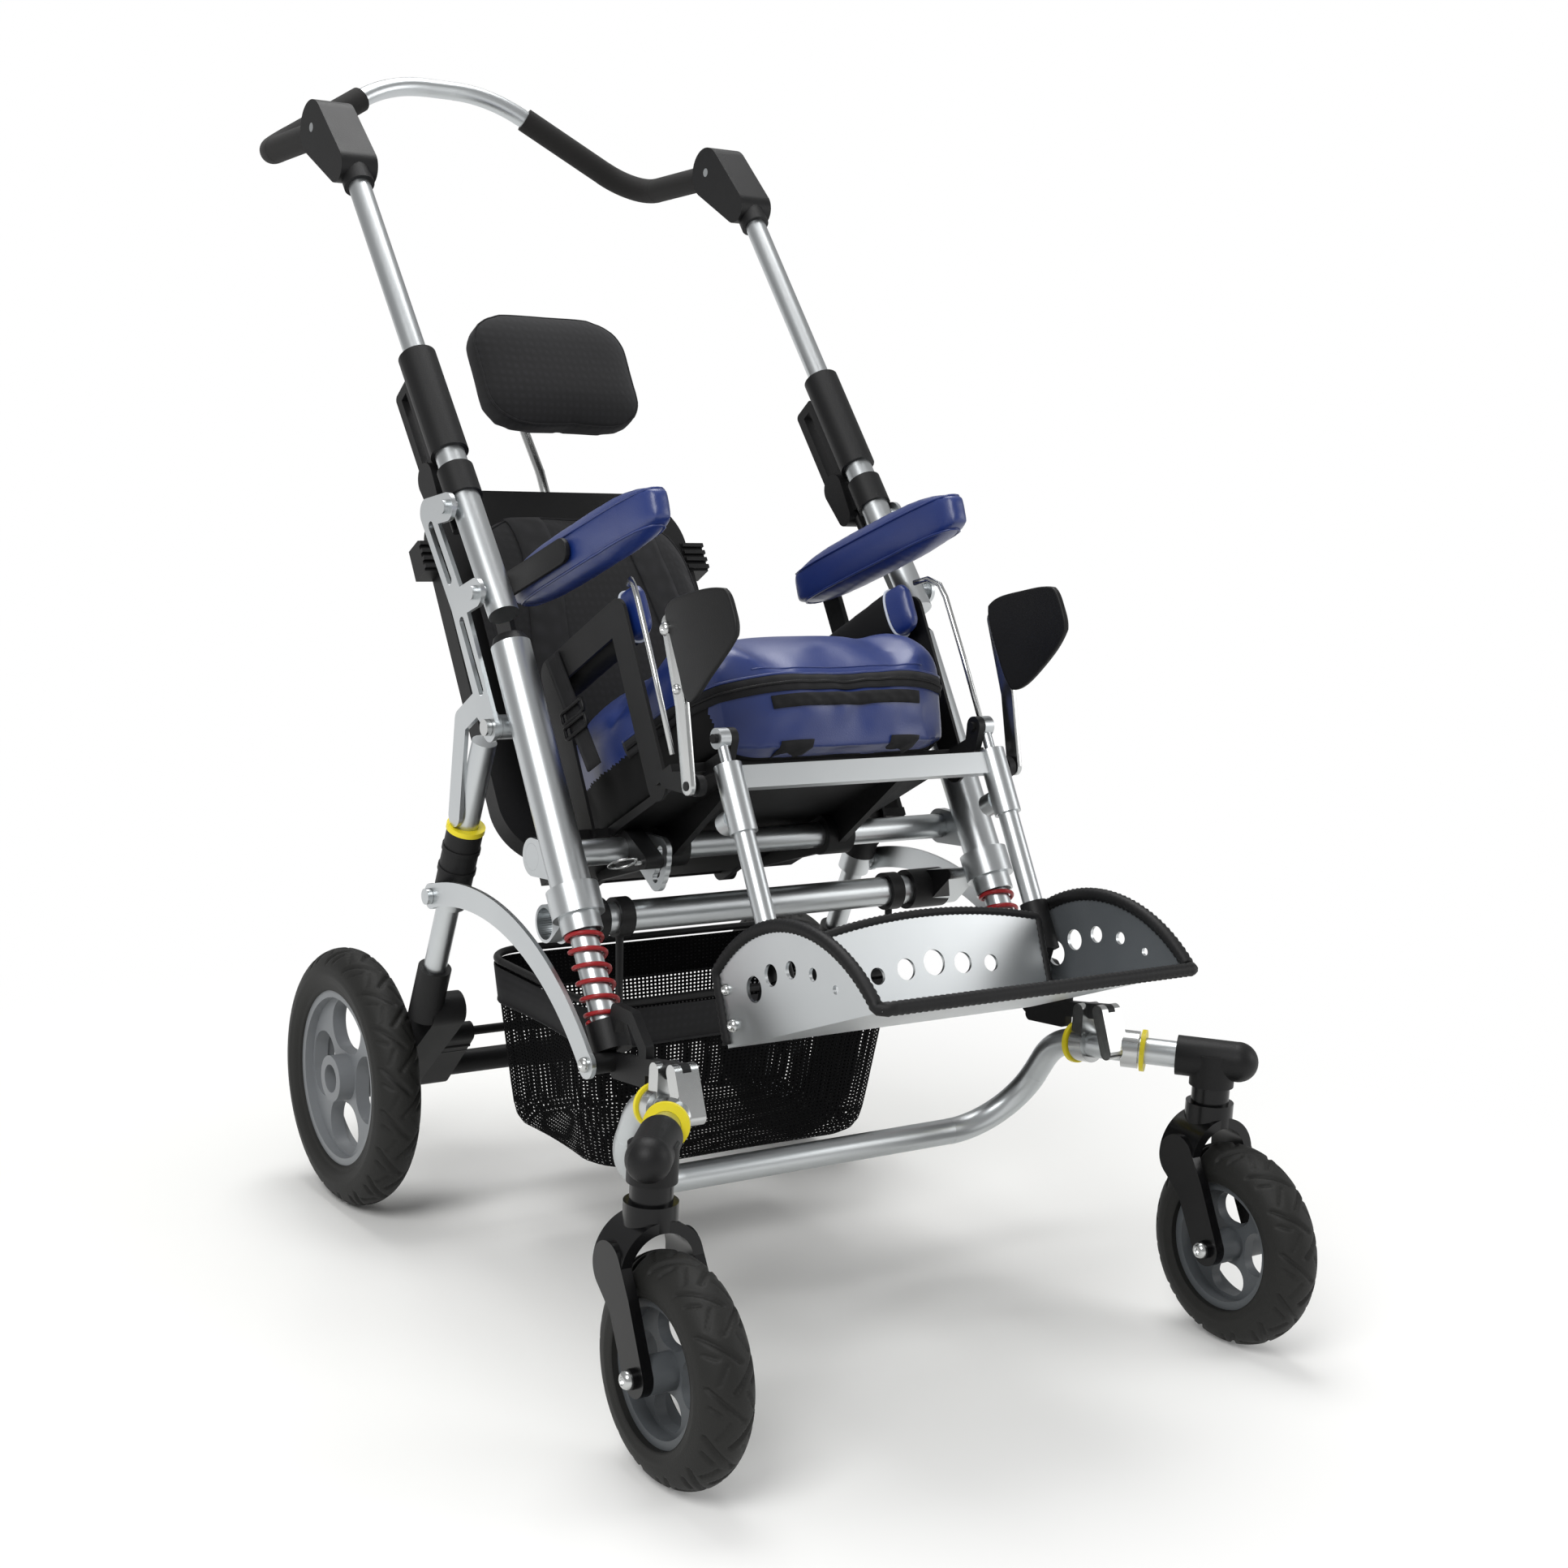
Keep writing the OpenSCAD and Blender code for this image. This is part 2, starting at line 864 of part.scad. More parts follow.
// Suspension spring as one swept wire whose ends stand square on their seats
spring_r = (spring_d - spring_wire) / 2;
spring_steps = spring_turns * rings_per_turn;
spring_climb = spring_len - 2 * clear - 2 * spring_wire;
function coil_at(k) = [
  spring_r * cos(360 * k / rings_per_turn),
  spring_r * sin(360 * k / rings_per_turn),
  spring_wire + spring_climb * k / spring_steps
];
spring_path = concat(
  [[spring_r, 0, 0]],
  [for (k = [0 : spring_steps]) coil_at(k)],
  [coil_at(spring_steps) + [0, 0, spring_wire]]
);
echo(spring_least_gap = min([
  for (a = [1 : len(spring_path) - 2], b = [1 : len(spring_path) - 2])
    if (b - a >= rings_per_turn / 2) norm(spring_path[a] - spring_path[b]) - spring_wire
]));
function path_heading(path, i) = unit(path[min(i + 1, len(path) - 1)] - path[max(i - 1, 0)]);
function wire_ring(path, i, r, sides) =
  let (
    heading = path_heading(path, i),
    outward = unit([path[i].x, path[i].y, 0] - ([path[i].x, path[i].y, 0] * heading) * heading),
    aside = cross(heading, outward)
  ) [for (s = [0 : sides - 1]) path[i] + r * (cos(360 * s / sides) * outward + sin(360 * s / sides) * aside)];
module wire(path, d, sides) {
  n = len(path);
  points = [for (i = [0 : n - 1]) each wire_ring(path, i, d / 2, sides)];
  skin = [
    for (i = [0 : n - 2], s = [0 : sides - 1], half = [0, 1])
      let (a = i * sides + s, b = i * sides + (s + 1) % sides)
      half == 0 ? [a, a + sides, b] : [b, a + sides, b + sides]
  ];
  caps = [
    for (s = [1 : sides - 2], end = [0, 1])
      let (o = (n - 1) * sides)
      end == 0 ? [0, s, s + 1] : [o, o + s + 1, o + s]
  ];
  polyhedron(points = points, faces = concat(skin, caps));
}
module coil_spring() {
  color(red)
    on_main()
      translate([0, 0, spring_top - spring_len + clear])
        wire(spring_path, spring_wire, spring_sides);
}
module left_coil_spring() coil_spring();
module right_coil_spring() right_side() coil_spring();

// Fabric basket: one tapered tub with a real opening at its top
module basket_tub(w, l, h, corner) {
  foot = basket_taper_share;
  hull() {
    translate([0, 0, -rim_d])
      linear_extrude(rim_d)
        soft_rect_2d(w, l, corner, $fn = hull_fn);
    translate([0, 0, -h])
      linear_extrude(rim_d)
        soft_rect_2d(w * foot, l * foot, corner * foot, $fn = hull_fn);
  }
}
module storage_basket() {
  color(black)
    translate([0, basket_y, basket_z])
      difference() {
        basket_tub(basket_w, basket_len, basket_h, basket_corner);
        translate([0, 0, overrun])
          basket_tub(
            basket_w - 2 * basket_wall,
            basket_len - 2 * basket_wall,
            basket_h - basket_wall + overrun,
            basket_corner - basket_wall
          );
      }
}

// Wire rim that hangs the basket from the lower cross tube
module basket_rim() {
  z = basket_z + rim_d / 2 + clear;
  half_w = (basket_w - rim_d) / 2;
  front = basket_y - (basket_len - rim_d) / 2;
  back = basket_y + (basket_len - rim_d) / 2;
  corner = basket_corner - rim_d / 2;
  hook_d = low_tube_d + 2 * rim_hook_wall;
  color(black) {
    bent_tube(
      [[0, front, z], [half_w, front, z], [half_w, back, z], [0, back, z]],
      [corner, corner],
      rim_d
    );
    bent_tube(
      [[0, front, z], [-half_w, front, z], [-half_w, back, z], [0, back, z]],
      [corner, corner],
      rim_d
    );
    both_sides()
      difference() {
        union() {
          cross_pin(rim_hook_x, 2 * rim_d, low_tube, hook_d);
          rod([rim_hook_x, front, z], at_x(rim_hook_x, low_tube), rim_d);
        }
        cross_pin(rim_hook_x, low_tube_d, low_tube, low_tube_d + 2 * fit);
      }
  }
}

// Front axle: struts, tie-down brackets, bow tube and caster heads

bow_dir = unit(bow_shoulder - bow_arm);
bow_start = bow_arm + bow_dir * (pin_d / 2 + tube_short);
bow_radii = [bow_shoulder_r, bow_neck_r, bow_corner_r];
module front_bow_tube() {
  color(alu)
    bent_tube(
      and_mirror([bow_start, bow_shoulder, bow_neck, bow_corner]),
      concat(bow_radii, reversed(bow_radii)),
      bow_d
    );
}

module strut_tubes() {
  color(steel)
    both_sides()
      on_main()
        translate([0, 0, cup_foot + cup_base])
          cylinder(h = strut_top - cup_foot - cup_base, d = strut_d);
}

// Flat eyelet for a vehicle tie-down hook, with the rail that the bow clamps grip
module eyelet_2d(grow = 0) {
  loop = [
    [cup_top - cup_len / 2, -strut_d / 2],
    eyelet_near,
    eyelet_far,
    eyelet_nose,
    eyelet_low,
    [link_bolt_along - link_boss_d / 2, 0]
  ];
  chain_2d([for (p = loop) main_at(p.x, p.y)], bracket_bar_r + grow);
  chain_2d([main_at(link_bolt_along), rail_back], rail_r + grow);
  chain_2d([rail_back, rail_front], rail_r + grow);
}
module tie_down_bracket() {
  link_reach = link_x - plate_t / 2 - air - main_x;
  difference() {
    union() {
      on_main()
        translate([0, 0, cup_foot])
          cylinder(h = cup_len + cup_base, d = strut_d + 2 * cup_wall);
      side_plate(main_x, bracket_t)
        eyelet_2d();
      cross_pin(main_x + link_reach / 2, link_reach, main_at(link_bolt_along), link_boss_d);
      cross_pin(main_x + link_reach, 2 * (plate_t + air), main_at(link_bolt_along), link_bolt_d);
    }
    on_main()
      translate([0, 0, cup_foot + cup_base])
        cylinder(h = spring_len + cup_len, d = strut_d + 2 * fit);
  }
}
module tie_down_brackets() {
  color(black)
    both_sides()
      tie_down_bracket();
}

// Rubber-lined clamps that hold the bow tube under each bracket
clamp_d = bow_d + 2 * clamp_wall;
rear_clamp_dir = unit(bow_neck - bow_shoulder);
shoulder_run = bow_shoulder_r * tan(acos(bow_dir * rear_clamp_dir) / 2);
front_clamp_at = bow_shoulder - bow_dir * (shoulder_run + clamp_len / 2 + air);
rear_clamp_at = bow_shoulder + rear_clamp_dir * (shoulder_run + clamp_len / 2 + air);
rear_share = (rear_clamp_at.y - rail_back.x) / (rail_front.x - rail_back.x);
rear_ear = rail_back + rear_share * (rail_front - rail_back);
// Straight piece of the bow tube, or of a bore around it, where a clamp sits
module along_rod(at, dir, from, to, d) rod(at + dir * from, at + dir * to, d);
module clamp_bores() {
  reach = clamp_len + band_len;
  along_rod(front_clamp_at, bow_dir, -reach, reach, bow_d + 2 * fit);
  along_rod(rear_clamp_at, rear_clamp_dir, -reach, reach, bow_d + 2 * fit);
  bend(bow_arm, bow_shoulder, bow_neck, bow_shoulder_r, bow_d + 2 * bend_swell);
  side_plate(main_x, bracket_t + 2 * fit)
    eyelet_2d(fit);
}
module bow_clamps() {
  color(steel)
    both_sides()
      difference() {
        union() {
          along_rod(front_clamp_at, bow_dir, -clamp_len / 2, clamp_len / 2, clamp_d);
          along_rod(rear_clamp_at, rear_clamp_dir, -clamp_len / 2, clamp_len / 2, clamp_d);
          side_plate(main_x, clamp_ear_t)
            link_2d(rail_front, clamp_ear_r, [front_clamp_at.y, front_clamp_at.z], clamp_ear_r);
          side_plate(main_x, clamp_ear_t)
            link_2d(rear_ear, clamp_ear_r, [rear_clamp_at.y, rear_clamp_at.z], clamp_ear_r);
        }
        clamp_bores();
      }
}
module clamp_bands() {
  near = clamp_len / 2 + band_gap;
  color(yellow)
    both_sides()
      difference() {
        union() {
          along_rod(front_clamp_at, bow_dir, -near - band_len, -near, bow_d + 2 * band_wall);
          along_rod(rear_clamp_at, rear_clamp_dir, near, near + band_len, bow_d + 2 * band_wall);
        }
        clamp_bores();
      }
}

// Moulded cover of the caster arm with the swivel head on its end
module caster_arm_covers() {
  cover_start = front_clamp_at - bow_dir * (clamp_len / 2 + band_len + cover_from);
  color(black)
    both_sides()
      difference() {
        union() {
          rod(cover_start, bow_arm - bow_dir * cover_past, cover_d);
          translate(bow_arm - bow_dir * cover_past)
            sphere(d = cover_d + bend_swell);
          translate([stem_x, stem_y, head_foot_z])
            cylinder(h = head_h_stem - 2 * head_cap, d = head_d_stem);
        }
        along_rod(bow_start, bow_dir, -fit, norm(bow_shoulder - bow_start), bow_d + 2 * fit);
        translate([stem_x, stem_y, head_foot_z - overrun])
          cylinder(h = pin_up + 2 * overrun, d = pin_d + 2 * run);
      }
}

// Casters

module caster_fork() {
  leg_mid_x = caster_w / 2 + fork_gap + fork_t / 2;
  axle_at = [stem_y - caster_trail, caster_d / 2];
  crown_at = [stem_y, crown_z + crown_h / 2];
  mid_at = crown_at + fork_mid_share * (axle_at - crown_at) + [fork_mid_back, 0];
  span = 2 * (leg_mid_x + fork_t / 2);
  arch_z = crown_z - caster_w / 2 - fork_gap;
  color(black)
    translate([stem_x, 0, 0]) {
      for (side = [-1, 1]) {
        side_plate(side * leg_mid_x, fork_t)
          link_2d([stem_y, arch_z], fork_top_r, mid_at, fork_mid_r);
        side_plate(side * leg_mid_x, fork_t)
          link_2d(mid_at, fork_mid_r, axle_at, fork_axle_r);
      }
      intersection() {
        translate([-span / 2, stem_y - fork_top_r, crown_at.y - crown_h - fork_top_r])
          cube([span, 2 * fork_top_r, span]);
        translate([0, stem_y - span / 2, arch_z])
          rotate([-90, 0, 0])
            difference() {
              cylinder(h = span, r = span / 2);
              translate([0, 0, -overrun])
                cylinder(h = span + 2 * overrun, r = caster_w / 2 + fork_gap);
            }
        translate([-span / 2, stem_y - fork_top_r, arch_z])
          cube([span, 2 * fork_top_r, span]);
      }
      translate([0, stem_y, crown_z])
        cylinder(h = crown_h, d = collar_d + fork_t);
      translate([0, stem_y, collar_z - overrun])
        cylinder(h = collar_h + overrun, d = collar_d);
      translate([0, stem_y, collar_z])
        cylinder(h = collar_h + clear + pin_up, d = pin_d);
      cross_pin(0, span, axle_at, caster_axle_d);
      for (side = [-1, 1])
        cross_pin(side * (span + axle_cap_t) / 2, axle_cap_t, axle_at, axle_cap_d);
    }
}
module left_caster_fork() caster_fork();
module right_caster_fork() right_side() caster_fork();

// Wheel turned about its axle: pressed-on tyre and spoked rim, standing on the YZ plane
module tyre(d, w, seat_r) {
  r = d / 2;
  section = w / 2;
  crown = w * tread_crown_share;
  rotate([0, 90, 0])
    rotate_extrude($fn = fine_fn)
      difference() {
        union() {
          translate([r - section, 0])
            circle(r = section);
          translate([seat_r, -section + crown])
            square([r - section - seat_r, w - 2 * crown]);
        }
        translate([0, -w])
          square([seat_r, 2 * w]);
      }
}
module spoked_rim(seat_r, w, hub_d, hub_len, web_t, bore, recess_d, recess) {
  half = w / 2;
  inner_r = seat_r - rim_wall;
  mid_r = (inner_r + hub_d / 2) / 2;
  hole_r = (inner_r - hub_d / 2) / 2 - rim_lip;
  difference() {
    union() {
      rotate([0, 90, 0])
        rotate_extrude($fn = fine_fn)
          difference() {
            translate([0, -half])
              square([seat_r, w]);
            translate([0, web_t / 2])
              square([inner_r, half]);
            translate([0, -web_t / 2 - half])
              square([inner_r, half]);
          }
      cross_pin(0, hub_len, [0, 0], hub_d);
    }
    for (k = [0 : spokes - 1])
      rotate([360 * k / spokes, 0, 0])
        side_plate(0, web_t + overrun)
          link_2d(
            mid_r * [-sin(spoke_hole_share * 180 / spokes), cos(spoke_hole_share * 180 / spokes)], hole_r,
            mid_r * [sin(spoke_hole_share * 180 / spokes), cos(spoke_hole_share * 180 / spokes)], hole_r
          );
    cross_pin(0, hub_len + overrun, [0, 0], bore);
    translate([hub_len / 2 - recess, 0, 0])
      rotate([0, 90, 0])
        cylinder(h = recess + overrun, d = recess_d);
  }
}
module at_caster() {
  translate([stem_x, stem_y - caster_trail, caster_d / 2])
    children();
}
module at_rear() {
  translate(at_x(rear_x, rear_axle))
    children();
}
module caster_rim() {
  color(grey)
    at_caster()
      spoked_rim(
        caster_rim_r - fit, caster_w - 2 * rim_wall, caster_hub_d, caster_w + 2 * fork_gap - 2 * clear,
        caster_web_t, caster_axle_d + 2 * run, caster_axle_d, 0
      );
}
module rear_rim() {
  color(grey)
    at_rear()
      spoked_rim(
        rear_rim_r - fit, rear_w - 2 * rim_wall, rear_hub_d, rear_w, rear_web_t,
        stub_d + 2 * run, hub_recess_d, hub_recess_h
      );
}
module caster_tyre() color(rubber) at_caster() tyre(caster_d, caster_w, caster_rim_r);
module rear_tyre() color(rubber) at_rear() tyre(rear_d, rear_w, rear_rim_r);
module left_caster_rim() caster_rim();
module right_caster_rim() right_side() caster_rim();
module left_caster_tyre() caster_tyre();
module right_caster_tyre() right_side() caster_tyre();
module left_rear_rim() rear_rim();
module right_rear_rim() right_side() rear_rim();
module left_rear_tyre() rear_tyre();
module right_rear_tyre() right_side() rear_tyre();

// Rear legs

module rear_leg_hooks() {
  color(alu)
    both_sides() {
      difference() {
        side_plate(hook_x, plate_t) {
          link_2d(fold_pivot, fold_boss_r, hook_crest, hook_w_r);
          link_2d(hook_crest, hook_w_r, hook_turn, hook_w_r);
          link_2d(hook_turn, hook_w_r, leg_at(hook_foot_along), hook_w_r);
        }
        cross_pin(hook_x, plate_t + overrun, fold_pivot, fold_bolt_d + 2 * run);
      }
      on_leg()
        cylinder(h = leg_up_len, d = leg_up_d);
    }
}

// Rubber cushions between the upper and the lower leg
stack_from = leg_up_len + fit;
stack_pitch = stack_len / stack_rings;
module rear_elastomers() {
  color(rubber)
    both_sides()
      on_leg()
        for (k = [0 : stack_rings - 1])
          translate([0, 0, stack_from + k * stack_pitch + ring_h + fit])
            cylinder(h = stack_pitch - ring_h - 2 * fit, d = stack_d);
}
module elastomer_rings() {
  color(yellow)
    both_sides()
      on_leg()
        for (k = [0 : stack_rings - 1])
          translate([0, 0, stack_from + k * stack_pitch])
            cylinder(h = ring_h, d = ring_d);
}
lower_from = stack_from + stack_len;
link_pivot = leg_at(lower_from + link_collar_h / 2);
module rear_lower_legs() {
  bolt_out = link_x + plate_t / 2 + clear;
  boss_out = link_x - plate_t / 2 - clear;
  color(alu)
    both_sides() {
      on_leg() {
        translate([0, 0, lower_from])
          cylinder(h = link_collar_h, d = link_collar_d);
        translate([0, 0, lower_from])
          cylinder(h = leg_len - lower_from, d = leg_low_d);
      }
      cross_pin((leg_x + bolt_out) / 2, bolt_out - leg_x, link_pivot, link_bolt_d);
      cross_pin(bolt_out + fold_head_t / 2, fold_head_t, link_pivot, fold_head_d);
      cross_pin((leg_x + boss_out) / 2, boss_out - leg_x, link_pivot, link_boss_d);
    }
}

// Moulded feet that carry the axle beside the rear wheels
module axle_housings() {
  socket_d = leg_low_d + 2 * clamp_wall;
  color(black)
    both_sides()
      difference() {
        union() {
          side_plate(housing_x, housing_t)
            link_2d(leg_at(leg_len + housing_top_r), housing_top_r, rear_axle, housing_axle_r);
          on_leg()
            translate([0, 0, leg_len - 2 * housing_top_r])
              cylinder(h = 2 * housing_top_r + housing_axle_r, d = socket_d);
        }
        on_leg()
          cylinder(h = leg_len + fit, d = leg_low_d + 2 * fit);
        cross_pin(housing_x, 2 * housing_t, rear_axle, axle_d + 2 * fit);
      }
}

module rear_axle() {
  shoulder = housing_x + housing_t / 2 + clear;
  outer = rear_x + rear_w / 2 - hub_recess_h + clear;
  color(black) {
    cross_pin(0, 2 * shoulder, rear_axle, axle_d);
    cross_pin(0, 2 * outer, rear_axle, stub_d);
    for (side = [-1, 1])
      cross_pin(side * (outer + stub_cap_t / 2), stub_cap_t, rear_axle, stub_cap_d);
  }
}

// Foot brake: two ribbed pedals on the axle, joined by a rod
module brake_pedals() {
  pad_at = rear_axle + [-pedal_len, pedal_lift];
  collar_r = axle_d / 2 + pedal_wall;
  color(black) {
    both_sides() {
      difference() {
        side_plate(pedal_x, pedal_w)
          link_2d(rear_axle, collar_r, pad_at, pedal_pad_r);
        cross_pin(pedal_x, pedal_w + overrun, rear_axle, axle_d + 2 * run);
      }
      side_plate(pedal_x, pedal_w)
        for (k = [0 : pedal_ribs - 1])
          translate(rear_axle + (pad_at - rear_axle) * (k + pedal_ribs) / (2 * pedal_ribs))
            translate(pedal_pad_r * unit([-pedal_lift, -pedal_len]))
              circle(r = pedal_rib);
    }
    cross_pin(0, 2 * pedal_x, pad_at, brake_rod_d);
  }
}

// Arched side links from the rear legs to the front brackets
module side_links() {
  front = main_at(link_bolt_along);
  color(alu)
    both_sides()
      difference() {
        side_plate(link_x, plate_t) {
          arch_2d(link_pivot, front, link_rise, link_w);
          translate(front)
            circle(r = link_eye_r);
          translate(link_pivot)
            circle(r = link_eye_r);
        }
        cross_pin(link_x, plate_t + overrun, link_pivot, link_bolt_d + 2 * run);
        cross_pin(link_x, plate_t + overrun, front, link_bolt_d + 2 * link_slack);
      }
}

// Push handle

module fold_plates() {
  knee = push_at(plate_knee_along, plate_knee_off);
  top = push_at(plate_top_along, plate_top_off);
  low_bolt = push_at(plate_low_bolt);
  high_bolt = push_at(plate_high_bolt);
  bolt_out = fold_x + plate_t / 2 + fold_head_t;
  color(alu)
    both_sides() {
      difference() {
        side_plate(fold_x, plate_t) {
          link_2d(fold_pivot, plate_r, knee, plate_r);
          link_2d(knee, plate_r, top, plate_r);
          link_2d(knee, plate_r, low_bolt, plate_r);
          link_2d(top, plate_r, high_bolt, plate_r);
        }
        side_plate(fold_x, plate_t + overrun) {
          link_2d(
            fold_pivot + slot_in_share * (knee - fold_pivot) + [0, slot_w / 2], slot_w / 2,
            fold_pivot + slot_out_share * (knee - fold_pivot), slot_w / 2
          );
          link_2d(
            knee + slot_in_share * (top - knee), slot_w / 2,
            knee + slot_out_share * (top - knee), slot_w / 2
          );
        }
        cross_pin(fold_x, plate_t + overrun, fold_pivot, fold_bolt_d + 2 * run);
      }
      difference() {
        for (bolt = [low_bolt, high_bolt])
          cross_pin((push_x + bolt_out) / 2, bolt_out - push_x, bolt, plate_bolt_d);
        on_push()
          cylinder(h = push_low_len, d = push_low_d + 2 * fit);
      }
    }
}

module lower_push_tubes() {
  color(alu)
    both_sides()
      on_push()
        difference() {
          cylinder(h = push_low_len, d = push_low_d);
          translate([0, 0, push_plug])
            cylinder(h = push_low_len, d = push_up_d + 2 * run);
        }
}

// Clamp sleeves at the telescope joint
module clamp_sleeves() {
  color(black)
    both_sides()
      on_push()
        translate([0, 0, sleeve_from])
          difference() {
            cylinder(h = sleeve_len, d = push_low_d + 2 * sleeve_wall);
            translate([0, 0, -overrun])
              cylinder(h = push_low_len - sleeve_from + overrun + fit, d = push_low_d + 2 * fit);
            cylinder(h = sleeve_len + overrun, d = push_up_d + 2 * clear);
          }
}

// Looped release handle behind each sleeve, sliding on the push tube, with the pull rod below it
module release_lever() {
  mid = (lever_in + lever_out) / 2;
  grip_r = (lever_out - lever_in) / 2;
  low_off = lever_in + lever_bar_r;
  color(black)
    difference() {
      union() {
        side_plate(push_x, lever_t)
          chain_2d(
            [
              push_at(lever_low_along, lever_in),
              push_at(lever_top_along, lever_in),
              push_at(lever_top_along, lever_out),
              push_at(lever_low_along, lever_out),
              push_at(lever_low_along, lever_in)
            ],
            lever_bar_r
          );
        side_plate(push_x, 2 * lever_t)
          link_2d(
            push_at(lever_low_along, mid), grip_r + lever_bar_r - weld,
            push_at(lever_low_along - lever_block_len, mid), grip_r
          );
        side_plate(push_x, lever_t)
          chain_2d(
            [
              push_at(lever_collar_from + lever_collar_len / 2),
              push_at(lever_low_along - lever_block_len / 2, mid)
            ],
            lever_t
          );
        on_push()
          translate([0, 0, lever_collar_from])
            cylinder(h = lever_collar_len, d = push_low_d + 2 * lever_collar_wall);
        on_push()
          translate([0, low_off, lever_rod_end])
            cylinder(h = lever_low_along - lever_rod_end, d = lever_rod_d);
      }
      on_push()
        cylinder(h = push_low_len, d = push_low_d + 2 * run);
    }
}
module left_release_lever() release_lever();
module right_release_lever() right_side() release_lever();

module upper_push_tubes() {
  color(alu)
    both_sides()
      on_push()
        translate([0, 0, push_up_from])
          cylinder(h = push_reach + housing_lap - push_up_from, d = push_up_d);
}

// Ratchet housings that set the angle of the push bar
module angle_housings() {
  bar_angle = -bar_dip;
  reach = 2 * angle_r;
  color(black)
    both_sides()
      difference() {
        union() {
          side_plate(push_x, angle_t)
            link_2d(push_at(angle_neck_along + angle_neck_r), angle_neck_r, angle_pivot, angle_r);
          on_push()
            translate([0, 0, push_reach])
              cylinder(h = angle_neck_r * 2, d = push_up_d + 2 * sleeve_wall);
        }
        on_push()
          cylinder(h = push_reach + housing_lap + fit, d = push_up_d + 2 * fit);
        side_plate(push_x, hub_t + 2 * clear) {
          translate(angle_pivot)
            circle(r = hub_r + clear);
          translate(angle_pivot)
            for (turn = [-bar_swing_down, 0, bar_swing_up])
              rotate(bar_angle + turn)
                translate([0, -neck_d / 2 - air])
                  square([reach, neck_d + 2 * air]);
          translate(angle_pivot)
            polygon([
              [0, 0],
              for (turn = [-bar_swing_down, -bar_swing_down / 2, 0, bar_swing_up / 2, bar_swing_up])
                reach * [cos(bar_angle + turn), sin(bar_angle + turn)]
            ]);
        }
        cross_pin(push_x, angle_t + overrun, angle_pivot, hub_pin_d + 2 * fit);
      }
}

// Push bar bent from one tube, with a hub at each end
bar_start = angle_pivot + neck_len * bar_hand_dir;
bar_right = [
  at_x(bar_x, bar_start),
  at_x(bar_x, bar_bend),
  [bar_flat, bar_top.x, bar_top.y]
];
bar_radii = [bar_bend_r, bar_top_r];
module push_bar() {
  color(alu) {
    bent_tube(and_mirror(bar_right), concat(bar_radii, reversed(bar_radii)), bar_d);
    both_sides() {
      cross_pin(bar_x, hub_t, angle_pivot, 2 * hub_r);
      cross_pin(bar_x, angle_t, angle_pivot, hub_pin_d);
      rod(at_x(bar_x, angle_pivot), at_x(bar_x, bar_start + bar_hand_dir), neck_d);
    }
  }
}
module push_bar_grips() {
  inward = unit(bar_right[2] - bar_right[1]);
  color(black)
    both_sides()
      difference() {
        bent_tube(
          [bar_right[0] + at_x(0, bar_hand_dir), bar_right[1], bar_right[1] + inward * grip_lap],
          [bar_bend_r],
          grip_d
        );
        bent_tube(
          [bar_right[0], bar_right[1], bar_right[2]],
          [bar_bend_r],
          bar_d + 2 * fit + bend_swell
        );
      }
}

// Seat unit

